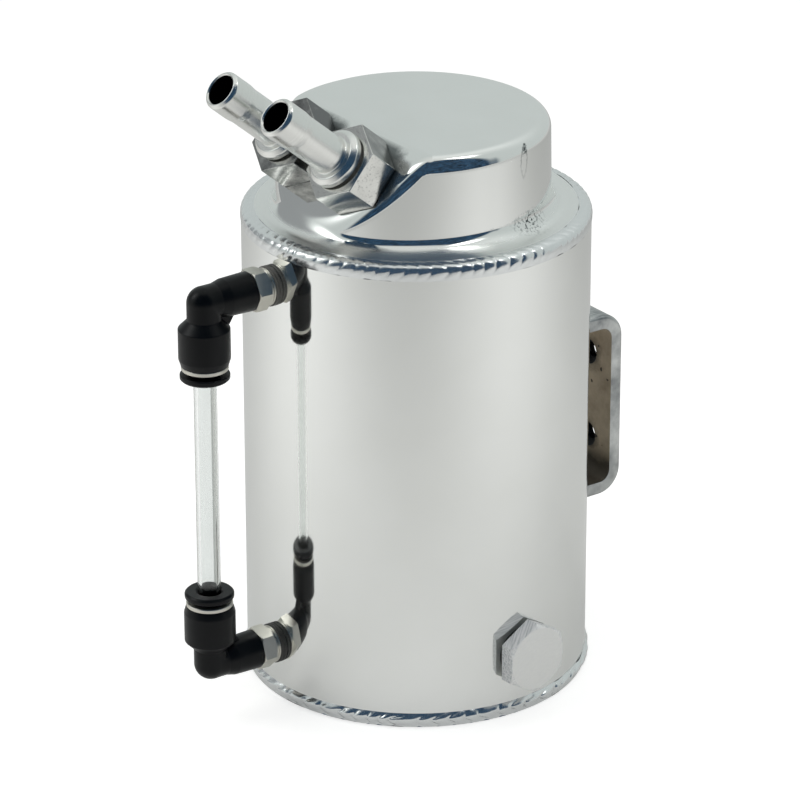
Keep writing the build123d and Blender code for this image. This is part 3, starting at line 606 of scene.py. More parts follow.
# %% Clear tube
# Drawn plastic: clear, with faint lines along its length.
clear, add = blank_material("clear tube plastic")
place = add("TexCoord").outputs["Object"]
draw = add("Mapping", {"Vector": place, "Scale": (1.0, 1.0, 0.02)})
lines = add("TexNoise", {"Vector": draw, "Scale": per_metre(0.6), "Detail": 2.0})
rough = add("MapRange", (lines, 0.3, 0.7, 0.01, 0.05))
shader = add("BsdfPrincipled", {"Base Color": linear("#e6e8e7"), "Roughness": rough, "IOR": 1.46,
                                "Transmission Weight": 1.0})
add("OutputMaterial", (shader,))
print("material", clear.name)

# %% Finishes by slot
FINISHES = {
    "polished_aluminium": polish,
    "weld_aluminium": weld_metal,
    "plain_aluminium": sawn,
    "turned_aluminium": turned_metal,
    "plug_aluminium": milled,
    "strap_aluminium": strap_metal,
    "nickel_brass": plated,
    "spring_steel": spring,
    "black_nylon": nylon,
    "seal_rubber": rubber,
    "clear_tube": clear,
}
print("finishes", sorted(FINISHES))

# %% [markdown]
# ## Carrying an outline
# Most pieces here were turned, bent or drawn, so each is an outline carried through stations: round an axis
# for a lathe, along a path for the strap. Corners are rounded where the outline says so, and each face corner
# gets its true normal, which is what keeps a mirror finish free of facets.


# %% An outline with rounded corners
def outline(corners, steps=5, closed=True):
    """Points of an outline in metres from corners in mm, and the normals before and after each point.

    A corner is (a, b) or (a, b, rounding). The outline runs anticlockwise, with the solid on its left."""
    spots = [np.array(c[:2], float) * MM for c in corners]
    rounds = [c[2] * MM if len(c) > 2 else 0.0 for c in corners]
    last = len(spots) - 1
    points, before, after = [], [], []
    for i, here in enumerate(spots):
        ahead = spots[(i + 1) % (last + 1)] - here
        behind = here - spots[i - 1]
        if not closed:
            ahead = behind if i == last else ahead
            behind = ahead if i == 0 else behind
        ahead, behind = ahead / np.linalg.norm(ahead), behind / np.linalg.norm(behind)
        out_behind = np.array((behind[1], -behind[0]))
        out_ahead = np.array((ahead[1], -ahead[0]))
        turn = math.atan2(behind[0] * ahead[1] - behind[1] * ahead[0], behind @ ahead)
        if rounds[i] == 0 or abs(turn) < 1e-6:
            points.append(here)
            before.append(out_behind)
            after.append(out_ahead)
            continue
        side = -math.copysign(1.0, turn)
        start = here - behind * rounds[i] * math.tan(abs(turn) / 2)
        centre = start + out_behind * rounds[i] * side
        for k in range(steps + 1):
            angle = turn * k / steps
            c, s = math.cos(angle), math.sin(angle)
            out = np.array((c * out_behind[0] - s * out_behind[1], s * out_behind[0] + c * out_behind[1]))
            points.append(centre - side * out * rounds[i])
            before.append(out)
            after.append(out)
    return np.array(points), np.array(before), np.array(after), closed


print("points of a rounded square", len(outline([(0, 0, 1), (9, 0, 1), (9, 9, 1), (0, 9, 1)])[0]))


# %% Carrying it through stations
def swept(name, shape, origins, across, along, loop=True):
    """Mesh of an outline carried through stations, where a point is origin + a * across + b * along."""
    points, before, after, closed = shape
    stations, count = len(origins), len(points)
    spots = origins[:, None] + points[None, :, :1] * across[:, None] + points[None, :, 1:] * along[:, None]
    lead = after[None, :, :1] * across[:, None] + after[None, :, 1:] * along[:, None]
    trail = before[None, :, :1] * across[:, None] + before[None, :, 1:] * along[:, None]
    spots = spots.reshape(-1, 3)
    pole = [loop and abs(points[k, 0]) < 1e-9 for k in range(count)]
    faces, normals = [], []
    for s in range(stations if loop else stations - 1):
        t = (s + 1) % stations
        for k in range(count if closed else count - 1):
            m = (k + 1) % count
            ring = [(s, k, lead), (t, k, lead), (t, m, trail), (s, m, trail)]
            if pole[k]:
                ring = ring[1:]
            if pole[m]:
                ring = ring[:-1]
            if len(ring) < 3:
                continue
            faces.append([(0 if pole[j] else r) * count + j for r, j, _ in ring])
            normals.extend(tuple(source[r, j]) for r, j, source in ring)
    if not loop and closed:
        for s, way in ((0, 1), (stations - 1, -1)):
            faces.append([s * count + k for k in range(count)][::way])
            out = np.cross(across[s], along[s]) * way
            normals.extend([tuple(out)] * count)
    mesh = bpy.data.meshes.new(name)
    mesh.from_pydata([tuple(p) for p in spots], [], faces)
    travel = np.concatenate([[0.0], np.cumsum(np.linalg.norm(np.diff(points, axis=0), axis=1))])
    for mark, values in (("along", points[:, 1]), ("across", travel / travel[-1])):
        field = mesh.attributes.new(mark, "FLOAT", "POINT")
        field.data.foreach_set("value", np.tile(values, stations).astype(np.float32))
    mesh.polygons.foreach_set("use_smooth", [True] * len(faces))
    mesh.normals_split_custom_set(normals)
    return drop_loose(mesh)


def drop_loose(mesh):
    """Removes the points that no face uses, which a pole leaves behind."""
    used = np.zeros(len(mesh.vertices), bool)
    corner_points = np.zeros(len(mesh.loops), np.int32)
    mesh.loops.foreach_get("vertex_index", corner_points)
    used[corner_points] = True
    if used.all():
        return mesh
    kept = bmesh.new()
    kept.from_mesh(mesh)
    kept.verts.ensure_lookup_table()
    bmesh.ops.delete(kept, geom=[kept.verts[i] for i in np.flatnonzero(~used)], context="VERTS")
    kept.to_mesh(mesh)
    kept.free()
    return mesh


def turned(name, corners, place=Matrix.Identity(4), segments=96, steps=5, closed=True, start=0.0):
    """Mesh turned about Z from an outline of (radius, height) corners, then set in its place."""
    angles = np.linspace(0, 2 * math.pi, segments, endpoint=False) + math.radians(start)
    across = np.stack([np.cos(angles), np.sin(angles), 0 * angles], 1)
    along = np.tile((0.0, 0.0, 1.0), (segments, 1))
    mesh = swept(name, outline(corners, steps, closed), np.zeros((segments, 3)), across, along)
    mesh.transform(place)
    return mesh


def rod(name, radius, low, high, place, segments=64, start=0.0):
    """Plain round bar between two levels, for drills, spigots and six-sided stock."""
    bar = [(0, low), (radius, low), (radius, high), (0, high)]
    return turned(name, bar, place, segments=segments, closed=False, start=start)


print("faces of a plain bar", len(rod("bar", 1.0, 0.0, 1.0, Matrix.Identity(4)).polygons))

# %% [markdown]
# ## Cutting, joining and soft edges
# Drilled, joined and hexagonal pieces are cut with Blender's own Boolean and Bevel steps on a spare object,
# because they keep the outlines above simple. Weighted normals then leave each large face flat to the eye
# and let only the broken edges catch the light.


# %% Modifier steps and shading
def plain(mesh):
    """The same mesh without its set normals, flat-shaded, for cutting and joining."""
    if "custom_normal" in mesh.attributes:
        mesh.attributes.remove(mesh.attributes["custom_normal"])
    mesh.polygons.foreach_set("use_smooth", [False] * len(mesh.polygons))
    return mesh


def finished(mesh, *modifiers):
    """The mesh after modifiers, each a kind with its settings; a mesh among them is used as a tool."""
    work = bpy.data.objects.new("work", mesh)
    bpy.context.scene.collection.objects.link(work)
    tools = []
    for kind, settings in modifiers:
        step = work.modifiers.new(kind, kind)
        for field, value in settings.items():
            if isinstance(value, bpy.types.Mesh):
                value = bpy.data.objects.new("tool", value)
                bpy.context.scene.collection.objects.link(value)
                tools.append(value)
            setattr(step, field, value)
    for tool in tools:
        tool.hide_render = True
    graph = bpy.context.evaluated_depsgraph_get()
    made = bpy.data.meshes.new_from_object(work.evaluated_get(graph))
    for spent in [work, *tools]:
        bpy.data.objects.remove(spent)
    return made


def boolean(operation, tool):
    """Boolean step with a tool mesh."""
    return ("BOOLEAN", {"operation": operation, "solver": "EXACT", "object": plain(tool)})


cut_by, joined_with, kept_in = (partial(boolean, kind) for kind in ("DIFFERENCE", "UNION", "INTERSECT"))


def edge_round(width, angle=30.0, segments=2):
    """Bevel step that softens the edges sharper than an angle and keeps flat faces flat."""
    return ("BEVEL", {"width": width * MM, "segments": segments, "limit_method": "ANGLE",
                      "angle_limit": math.radians(angle)})


def soften(mesh, angle=35.0):
    """Smooth shading that breaks at edges sharper than an angle."""
    mesh.polygons.foreach_set("use_smooth", [True] * len(mesh.polygons))
    mesh.set_sharp_from_angle(angle=math.radians(angle))
    return mesh


def crisp(mesh, angle=35.0):
    """Smooth shading in which each large face keeps its own normal and only the rounded edges blend."""
    soften(plain(mesh), angle)
    return finished(mesh, ("WEIGHTED_NORMAL", {"mode": "FACE_AREA", "weight": 100, "keep_sharp": True}))


print("cutting steps", [step.args[0] for step in (cut_by, joined_with, kept_in)])

# %% [markdown]
# ## Marks and places
# A finish can only know where painted shade or scoring lies if the mesh carries a mark, so points and faces
# get one as an attribute. Pieces are made at the origin and set in place by a matrix, as on a workbench.


# %% Marks, points and places
def mark(mesh, name, shares):
    """Point attribute that a finish reads, one share for each point."""
    field = mesh.attributes.new(name, "FLOAT", "POINT")
    field.data.foreach_set("value", np.asarray(shares, np.float32))
    return mesh


def mark_faces(mesh, name, chosen):
    """Face-corner attribute that a finish reads, 1 on the faces chosen by their centre and normal."""
    field = mesh.attributes.new(name, "FLOAT", "CORNER")
    shares = np.zeros(len(mesh.loops), np.float32)
    for face in mesh.polygons:
        shares[face.loop_start : face.loop_start + face.loop_total] = chosen(face.center, face.normal)
    field.data.foreach_set("value", shares)
    return mesh


def points_of(mesh):
    """The mesh's points as an array, in metres."""
    spots = np.zeros(len(mesh.vertices) * 3)
    mesh.vertices.foreach_get("co", spots)
    return spots.reshape(-1, 3)


def move_points(mesh, spots):
    """Sets the mesh's points from such an array."""
    mesh.vertices.foreach_set("co", spots.ravel())


def piece(name, mesh, body, slot, *nodes):
    """Object for a mesh, with its finish, riding on a CAD body in place of CAD nodes."""
    made = bpy.data.objects.new(name, mesh)
    bpy.context.scene.collection.objects.link(made)
    mesh.materials.clear()
    mesh.materials.append(FINISHES[slot])
    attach(made, body)
    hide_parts(*nodes)
    return made


def aligned(origin, x_way, z_way):
    """Matrix that sets a piece's own X and Z along two ways, with its origin given in mm."""
    x, z = Vector(x_way).normalized(), Vector(z_way).normalized()
    y = z.cross(x)
    turn = Matrix((x, y, z)).transposed().to_4x4()
    return Matrix.Translation(Vector(origin) * MM) @ turn


def off_wall(angle, height):
    """Place on the can's wall, with Z outwards and Y up."""
    out = Vector((math.cos(math.radians(angle)), math.sin(math.radians(angle)), 0))
    return aligned(out * CAN_RADIUS + Vector((0, 0, height)), (-out.y, out.x, 0), out)


print("finishes to choose from", len(FINISHES))

# %% [markdown]
# ## The wall and the base
# The wall is a length of rolled tube. Turning its outline gives the form, three drills open the holes for the
# studs and the plug, and then every face of the round gets its normal straight from the axis, so the
# reflections run true right up to the holes.

# %% Wall sizes, and normals from the true form
CAN_RADIUS = 45.0
CAN_INNER = 42.0
TUBE_BOTTOM = 3.0
TUBE_TOP = 125.0
BASE_GROOVE = 1.2
TOP_GROOVE = 0.8
SIGHT_LOW, SIGHT_HIGH = 15.5, 115.8
SIGHT_FRONT = -90.0
STUD_HOLE = 4.65
DRAIN_TURN, DRAIN_HEIGHT, DRAIN_HOLE = 3.2, 17.0, 6.5
DRILL = 8.0


def from_form(mesh, normal_at, near=0.8):
    """Sets each face corner's normal from the piece's true form, except on faces that turn away from it."""
    count = len(mesh.loops)
    owner = np.repeat(np.arange(len(mesh.polygons)), [p.loop_total for p in mesh.polygons])
    corner = np.zeros(count, np.int32)
    mesh.loops.foreach_get("vertex_index", corner)
    flat = np.zeros(len(mesh.polygons) * 3)
    mesh.polygons.foreach_get("normal", flat)
    flat = flat.reshape(-1, 3)[owner]
    true = normal_at(points_of(mesh))[corner]
    use = (flat * true).sum(1) > near
    mesh.polygons.foreach_set("use_smooth", [True] * len(mesh.polygons))
    mesh.normals_split_custom_set(np.where(use[:, None], true, flat).tolist())
    return mesh


def round_out(spots):
    """Normal of the wall's outside at each point."""
    level = spots * (1, 1, 0)
    return level / np.maximum(np.linalg.norm(level, axis=1, keepdims=True), 1e-9)


print("wall", CAN_RADIUS - CAN_INNER, "mm thick")

# %% Wall and base
wall = plain(turned("rolled_wall", [
    (CAN_INNER, TUBE_BOTTOM),
    (CAN_RADIUS - BASE_GROOVE, TUBE_BOTTOM),
    (CAN_RADIUS, TUBE_BOTTOM + BASE_GROOVE),
    (CAN_RADIUS, TUBE_TOP - TOP_GROOVE),
    (CAN_RADIUS - TOP_GROOVE, TUBE_TOP),
    (CAN_INNER, TUBE_TOP),
], segments=288))
drills = []
for angle, height, radius in (
    (SIGHT_FRONT, SIGHT_HIGH, STUD_HOLE),
    (SIGHT_FRONT, SIGHT_LOW, STUD_HOLE),
    (DRAIN_TURN, DRAIN_HEIGHT, DRAIN_HOLE),
):
    drills.append(cut_by(rod("drill", radius, -DRILL, DRILL, off_wall(angle, height))))
wall = from_form(finished(wall, *drills), round_out)
piece("rolled_wall", wall, "can", "polished_aluminium", "can_tube")

base = turned("pressed_base", [
    (0, 0), (CAN_RADIUS - BASE_GROOVE, 0, 0.4), (CAN_RADIUS - BASE_GROOVE, TUBE_BOTTOM), (0, TUBE_BOTTOM),
], segments=192, closed=False)
piece("pressed_base", base, "can", "polished_aluminium", "base_plate")
print("wall faces", len(wall.polygons))

# %% [markdown]
# ## The weld beads
# A weld bead is a row of frozen puddles, each lapping the last. The bead's outline is turned first, and then
# a Geometry Nodes tree presses the ripples into it: it reads each point's angle round the can and its place
# across the bead, and sinks the valleys between puddles, uneven in depth as a hand-made weld is.


# %% Ripple tree
def ripple_tree():
    """Geometry Nodes group that presses weld ripples into a bead turned about Z."""
    tree = bpy.data.node_groups.new("weld ripples", "GeometryNodeTree")
    add = partial(node, tree)
    face = tree.interface
    face.new_socket("Geometry", in_out="OUTPUT", socket_type="NodeSocketGeometry")
    face.new_socket("Geometry", in_out="INPUT", socket_type="NodeSocketGeometry")
    for name in ("Ripples", "Depth", "Crescent", "Unevenness", "Patchiness", "Fading", "Seed"):
        face.new_socket(name, in_out="INPUT", socket_type="NodeSocketFloat")
    face.new_socket("Material", in_out="INPUT", socket_type="NodeSocketMaterial")
    given = add("NodeGroupInput").outputs
    place = add("GeometryNodeInputPosition")
    apart = add("SeparateXYZ", (place,)).outputs
    angle = add("Math", (apart["Y"], apart["X"]), operation="ARCTAN2")
    turns = add("Math", (angle, 2 * math.pi), operation="DIVIDE")
    count = add("Math", (turns, given["Ripples"]), operation="MULTIPLY")
    across = add("GeometryNodeInputNamedAttribute", {"Name": "across"}, data_type="FLOAT")
    middle = add("Math", (across, 2.0, -1.0), operation="MULTIPLY_ADD")
    bow = add("Math", (middle, middle), operation="MULTIPLY")
    bent = add("Math", (bow, given["Crescent"], count), operation="MULTIPLY_ADD")
    drift = add("TexNoise", {"Vector": place, "W": given["Seed"], "Scale": per_metre(9.0), "Detail": 2.0},
                noise_dimensions="4D")
    phase = add("Math", (drift, given["Unevenness"], bent), operation="MULTIPLY_ADD")
    wave = add("Math", (phase, math.pi), operation="MULTIPLY")
    swing = add("Math", (wave,), operation="SINE")
    puddle = add("Math", (swing,), operation="ABSOLUTE")
    slack = add("Math", (1.0, puddle), operation="SUBTRACT")
    valley = add("Math", (slack, 1.5), operation="POWER")
    lumps = add("TexNoise", {"Vector": place, "W": given["Seed"], "Scale": per_metre(16.0),
                             "Detail": 2.0}, noise_dimensions="4D")
    patch = add("MapRange", (lumps, 0.3, 0.7, 0.0, 1.0))
    worn = add("Math", (patch, given["Fading"]), operation="MULTIPLY")
    left = add("Math", (1.0, worn), operation="SUBTRACT")
    ripple = add("Math", (valley, left), operation="MULTIPLY")
    sunk = add("Math", (patch, given["Patchiness"], ripple), operation="MULTIPLY_ADD")
    steep = add("Math", (bow, bow), operation="MULTIPLY")
    crown = add("Math", (1.0, steep), operation="SUBTRACT")
    press = add("Math", (sunk, crown), operation="MULTIPLY")
    depth = add("Math", (press, given["Depth"]), operation="MULTIPLY")
    inward = add("Math", (depth, -MM), operation="MULTIPLY")
    normal = add("GeometryNodeInputNormal")
    offset = add("VectorMath", (normal, inward), operation="SCALE")
    moved = add("GeometryNodeSetPosition", {"Geometry": given["Geometry"], "Offset": offset})
    real = add("GeometryNodeRealizeInstances", (moved,))
    painted = add("GeometryNodeSetMaterial", {"Geometry": real, "Material": given["Material"]})
    add("NodeGroupOutput", (painted,))
    return tree


RIPPLES = ripple_tree()
print("ripple nodes", len(RIPPLES.nodes))


# %% The two beads round the can
def rippled(mesh, **sizes):
    """A bead's mesh after the ripple tree, with the tree's inputs given by name."""
    work = bpy.data.objects.new("work", mesh)
    bpy.context.scene.collection.objects.link(work)
    step = work.modifiers.new("ripples", "NODES")
    step.node_group = RIPPLES
    for socket in RIPPLES.interface.items_tree:
        if socket.in_out == "INPUT" and socket.name in sizes:
            step[socket.identifier] = sizes[socket.name]
    made = bpy.data.meshes.new_from_object(work.evaluated_get(bpy.context.evaluated_depsgraph_get()))
    bpy.data.objects.remove(work)
    return soften(made, angle=60.0)


def bead_round(name, face, root):
    """Bead turned about Z from its face and hidden root, marked with each point's place across the face."""
    mesh = plain(turned(name, face + root, segments=BEAD_SEGMENTS))
    shares = np.concatenate([np.linspace(0, 1, len(face)), np.ones(len(root))])
    mesh.attributes["across"].data.foreach_set("value", np.tile(shares, BEAD_SEGMENTS).astype(np.float32))
    return mesh


def bulged(start, end, proud, steps, lean=1.0):
    """Corners along an arc that stands proud of the line between two points; lean moves its crest on."""
    (a, b), (c, d) = start, end
    out = np.array((d - b, a - c)) / math.hypot(c - a, d - b)
    shares = np.linspace(0, 1, steps + 1)
    line = np.array(start) + shares[:, None] * (np.array(end) - np.array(start))
    crest = shares**lean
    return [tuple(p) for p in line + (4 * proud * crest * (1 - crest))[:, None] * out]


SHOULDER_TOP = 128.3
SEAM_RADIUS = 41.6
BEAD_STEPS, BEAD_SEGMENTS = 22, 900
TOP_PROUD, FOOT_PROUD, FOOT_LEAN, FOOT_CLEAR = 1.9, 1.2, 1.45, 0.3
top_face = bulged((CAN_RADIUS, TUBE_TOP - TOP_GROOVE), (SEAM_RADIUS, SHOULDER_TOP), TOP_PROUD, BEAD_STEPS)
top_root = [(CAN_RADIUS - TOP_GROOVE - 0.02, TUBE_TOP)]
top_bead = bead_round("top_bead", top_face, top_root)
top_bead = rippled(top_bead, Ripples=84.0, Depth=0.3, Crescent=0.6, Unevenness=2.0, Patchiness=0.35,
                   Fading=0.85, Seed=3.0, Material=weld_metal)
piece("top_bead", top_bead, "can", "weld_aluminium", "top_weld")

foot_toes = (CAN_RADIUS, FOOT_CLEAR), (CAN_RADIUS, TUBE_BOTTOM + BASE_GROOVE)
foot_face = bulged(*foot_toes, FOOT_PROUD, BEAD_STEPS, lean=FOOT_LEAN)
foot_root = [(CAN_RADIUS - BASE_GROOVE, TUBE_BOTTOM), (CAN_RADIUS - BASE_GROOVE, FOOT_CLEAR)]
foot_bead = bead_round("foot_bead", foot_face, foot_root)
foot_bead = rippled(foot_bead, Ripples=64.0, Depth=0.6, Crescent=-0.5, Unevenness=3.0, Patchiness=0.6,
                    Fading=0.3, Seed=8.0, Material=weld_metal)
piece("foot_bead", foot_bead, "can", "weld_aluminium", "base_weld")
print("beads", len(top_bead.polygons), len(foot_bead.polygons))

# %% [markdown]
# ## The head
# The head is one piece, and its faces run into each other through buffed rounds. A form like that is easiest
# to write as a distance: how far a point is outside the turret's side, its top and the hose facet, with round
# corners where two of them meet and a hollow where the turret stands on the shoulder. In front the hollow is
# lower and wider, and the shoulder rises a little towards it. Rays from a point inside find where the
# distance is nought, and its slope there is the true normal.

# %% The head's form as a distance
TURRET_TOP = 152.6
TURRET_RADIUS = 34.7
TURRET_SWELL = 1.8
TURRET_DRAFT = math.radians(1.0)
FOOT_ROUND, FRONT_FOOT_TALL, FRONT_FOOT_WIDE = 4.0, 2.7, 6.5
FRONT_SLOPE, FRONT_SLOPE_REACH = 0.13, 7.0
TOP_ROUND, FRONT_TOP_TALL = 3.5, 4.2
FRONT_BEARING = math.radians(-32.0)
FRONT_EDGE, FRONT_FADE = 0.6, 0.3
FACET_ROUND = 2.2
HEAD_WALL = 3.0
HEAD_HEART = np.array((0.0, 0.0, 110.0))


def round_outer(a, b, r):
    """Distance to where two forms overlap, with a round outer corner."""
    return np.minimum(-r, np.maximum(a, b)) + np.hypot(np.maximum(a + r, 0), np.maximum(b + r, 0))


def round_inner(a, b, r):
    """Distance to two forms joined, with a round inner corner."""
    return np.maximum(r, np.minimum(a, b)) - np.hypot(np.maximum(r - a, 0), np.maximum(r - b, 0))


def turret_side(p, inset):
    """Distance outside the turret's drafted side, moved in by a wall."""
    reach = np.hypot(p[:, 0], p[:, 1] - np.clip(p[:, 1], -TURRET_SWELL, 0))
    radius = TURRET_RADIUS - inset - (p[:, 2] - SHOULDER_TOP) * math.tan(TURRET_DRAFT)
    return (reach - radius) * math.cos(TURRET_DRAFT)


def head_outside(p):
    """Distance outside the head: shoulder, turret and hose facet with their rounds."""
    bearing = np.arctan2(p[:, 1], p[:, 0])
    front = np.clip((np.cos(bearing - FRONT_BEARING) - FRONT_EDGE) / FRONT_FADE, 0, 1)
    front = front * front * (3 - 2 * front)
    tall = TOP_ROUND + (FRONT_TOP_TALL - TOP_ROUND) * front
    turret = round_outer(turret_side(p, 0), (p[:, 2] - TURRET_TOP) * TOP_ROUND / tall, TOP_ROUND)
    turret = round_outer(turret, (p - FACET_ORIGIN) @ FACET_WAY, FACET_ROUND)
    from_seam = np.clip(SEAM_RADIUS - np.hypot(p[:, 0], p[:, 1]), 0, FRONT_SLOPE_REACH)
    shoulder = p[:, 2] - SHOULDER_TOP - FRONT_SLOPE * front * from_seam
    foot_tall = FOOT_ROUND + (FRONT_FOOT_TALL - FOOT_ROUND) * front
    foot_wide = FOOT_ROUND + (FRONT_FOOT_WIDE - FOOT_ROUND) * front
    return round_inner(turret, shoulder * foot_wide / foot_tall, foot_wide)


def head_cavity(p):
    """Distance outside the hollow of the head."""
    facet = (p - FACET_ORIGIN) @ FACET_WAY + HEAD_WALL
    return np.maximum(np.maximum(turret_side(p, HEAD_WALL), p[:, 2] - TURRET_TOP + HEAD_WALL), facet)


print("heart lies", round(-head_outside(HEAD_HEART[None])[0], 1), "mm inside")

# %% Rings of points on a form
HEAD_TURNS, HEAD_RINGS, CAVITY_RINGS = 320, 210, 40
FARTHEST, HALVINGS = 60.0, 48


def star_rings(form, rim_slope, rings):
    """Points where rays from the heart leave a form, ring by ring from straight up out to a rim."""
    turns = np.linspace(0, 2 * math.pi, HEAD_TURNS, endpoint=False)
    slopes = np.linspace(0, rim_slope, rings + 1)[1:]
    ways = np.stack([
        np.outer(slopes, np.cos(turns)).ravel(),
        np.outer(slopes, np.sin(turns)).ravel(),
        np.ones(rings * HEAD_TURNS),
    ], 1)
    ways = np.concatenate([[(0.0, 0.0, 1.0)], ways])
    low, high = np.zeros(len(ways)), np.full(len(ways), FARTHEST)
    for _ in range(HALVINGS):
        guess = (low + high) / 2
        outside = form(HEAD_HEART + ways * guess[:, None]) > 0
        high = np.where(outside, guess, high)
        low = np.where(outside, low, guess)
    return HEAD_HEART + ways * ((low + high) / 2)[:, None]


def slope_of(form, p, step=1e-4):
    """Unit slope of a distance, which is the surface's normal."""
    ways = np.eye(3) * step
    slope = np.stack([form(p + w) - form(p - w) for w in ways], 1)
    return slope / np.linalg.norm(slope, axis=1, keepdims=True)


def band(a, b):
    """Faces between two rings of points that start at a and at b."""
    return [(a + i, b + i, b + (i + 1) % HEAD_TURNS, a + (i + 1) % HEAD_TURNS) for i in range(HEAD_TURNS)]


def fan_and_bands(first, rings):
    """Faces from a pole through rings of points, counted from a first index."""
    start = first + 1
    faces = [(first, start + i, start + (i + 1) % HEAD_TURNS) for i in range(HEAD_TURNS)]
    for ring in range(rings - 1):
        faces += band(start + ring * HEAD_TURNS, start + (ring + 1) * HEAD_TURNS)
    return faces


print("rays to cast", HEAD_TURNS * (HEAD_RINGS + CAVITY_RINGS))

# %% Head
CAVITY_RIM = 2.115
BUNG_SPIGOT = 7.6
ON_FORM = 0.95
turns = np.linspace(0, 2 * math.pi, HEAD_TURNS, endpoint=False)
outer = star_rings(head_outside, SEAM_RADIUS / (SHOULDER_TOP - HEAD_HEART[2]), HEAD_RINGS)
lip_radius = CAN_RADIUS - TOP_GROOVE
lip = np.stack([lip_radius * np.cos(turns), lip_radius * np.sin(turns), np.full(HEAD_TURNS, TUBE_TOP)], 1)
inner = star_rings(head_cavity, CAVITY_RIM, CAVITY_RINGS)
inner[-HEAD_TURNS:] *= (1, 1, 0)
inner[-HEAD_TURNS:, 2] = TUBE_TOP
faces = fan_and_bands(0, HEAD_RINGS)
seam_start = 1 + (HEAD_RINGS - 1) * HEAD_TURNS
lip_start = len(outer)
inner_start = lip_start + HEAD_TURNS
rim_start = inner_start + 1 + (CAVITY_RINGS - 1) * HEAD_TURNS
faces += band(seam_start, lip_start) + band(lip_start, rim_start)
faces += [tuple(reversed(f)) for f in fan_and_bands(inner_start, CAVITY_RINGS)]
head = flat_mesh("buffed_head", np.concatenate([outer, lip, inner]) * MM, faces)
HOSE_PLACES = {
    side: aligned(FACET_ORIGIN + (x, 0, 0), (1, 0, 0), FACET_WAY)
    for side, x in (("left", -HOSE_SPACING / 2), ("right", HOSE_SPACING / 2))
}
drills = [cut_by(rod("drill", BUNG_SPIGOT, -DRILL, DRILL, spot)) for spot in HOSE_PLACES.values()]
head = finished(head, *drills)
head = from_form(head, lambda spots: slope_of(head_outside, spots / MM), near=ON_FORM)
piece("buffed_head", head, "can", "polished_aluminium", "head")
print("head faces", len(head.polygons))

# %% [markdown]
# ## The hose tails
# Each tail is turned from bar and screwed into a hexagon bung that is welded to the facet, with a dark
# sealing ring between them. The bung is a six-sided lathe form with its edges just broken; the tail is a
# plain lathe form whose outline carries the crowned collar, the low bead that holds the hose, and the lip.

# %% Bungs, seals and tails
BUNG_FLATS = 19.0
BUNG_HEIGHT = 9.2
BUNG_BORE, SPIGOT_OVERLAP, THROUGH = 6.05, 0.5, 20.0
SEAL_TOP = 9.8
COLLAR_TOP = 12.5
TAIL_TIP = 34.1
TAIL_FOOT, TAIL_THREAD, COLLAR_RADIUS, HOSE_SEAL = 0.8, 6.0, 7.7, 7.1
BORE_SHADE_LEVEL = TAIL_TIP - 1.0
COLLAR_CROWN, CROWN_RADIUS, BEAD_RAMP = 1.15, 6.55, 2.0
SHADED_TOP_FACING = 0.8
BORE_DEPTH, BUNG_EDGE = 9.0, 0.28
TAIL_RADIUS, TAIL_BORE, BEAD_RADIUS = 5.0, 4.0, 5.25
BEAD_START = 27.1
FACET_UP = Vector((0.0, math.sin(FACET_TILT), math.cos(FACET_TILT)))


def hexagon(name, flats, bottom, top, place, start):
    """Six-sided bar with its first corner turned from its own X."""
    return plain(rod(name, flats / math.sqrt(3), bottom, top, place, segments=6, start=start))


for side, spot in HOSE_PLACES.items():
    spigot = rod("spigot", BUNG_SPIGOT, -HEAD_WALL, SPIGOT_OVERLAP, spot)
    bore = rod("bore", BUNG_BORE, -BORE_DEPTH, THROUGH, spot)
    bung = hexagon("sawn_bung", BUNG_FLATS, 0, BUNG_HEIGHT, spot, start=30.0)
    bung = finished(bung, joined_with(spigot), cut_by(bore), edge_round(BUNG_EDGE, segments=3))
    # The upward flats are marked for painted shade.
    bung = mark_faces(crisp(bung), "shaded_top", lambda centre, normal: normal.dot(FACET_UP) > SHADED_TOP_FACING)
    piece("sawn_bung_" + side, bung, "can", "plain_aluminium", "hose_bung_" + side)
    seal = turned("pressed_seal", [
        (BUNG_BORE, BUNG_HEIGHT),
        (HOSE_SEAL, BUNG_HEIGHT, 0.2),
        (HOSE_SEAL, SEAL_TOP, 0.2),
        (BUNG_BORE, SEAL_TOP),
    ], spot, segments=64)
    piece("pressed_seal_" + side, seal, "can", "seal_rubber", "hose_seal_" + side)
    tail = turned("turned_tail", [
        (TAIL_BORE, TAIL_FOOT),
        (TAIL_THREAD, TAIL_FOOT, 0.4),
        (TAIL_THREAD, SEAL_TOP),
        (COLLAR_RADIUS, SEAL_TOP, 0.25),
        (COLLAR_RADIUS, COLLAR_TOP - COLLAR_CROWN, 0.7),
        (CROWN_RADIUS, COLLAR_TOP, 0.6),
        (TAIL_RADIUS, COLLAR_TOP, 0.35),
        (TAIL_RADIUS, BEAD_START - BEAD_RAMP, 6.0),
        (BEAD_RADIUS, BEAD_START, 6.0),
        (BEAD_RADIUS, TAIL_TIP - 0.9, 0.7),
        (TAIL_BORE + 0.45, TAIL_TIP, 0.25),
        (TAIL_BORE, TAIL_TIP - 0.45, 0.2),
        (TAIL_BORE, TAIL_TIP - 1.2),
    ], segments=128)
    spots = points_of(tail)
    in_bore = np.hypot(spots[:, 0], spots[:, 1]) < (TAIL_BORE + 0.02) * MM
    # The bore is marked for painted shade, up to a millimetre short of the tip.
    mark(tail, "shaded_recess", in_bore & (spots[:, 2] < BORE_SHADE_LEVEL * MM))
    tail.transform(spot)
    piece("turned_tail_" + side, tail, "can", "turned_aluminium", "hose_tail_" + side)
print("hose pieces on", list(HOSE_PLACES))

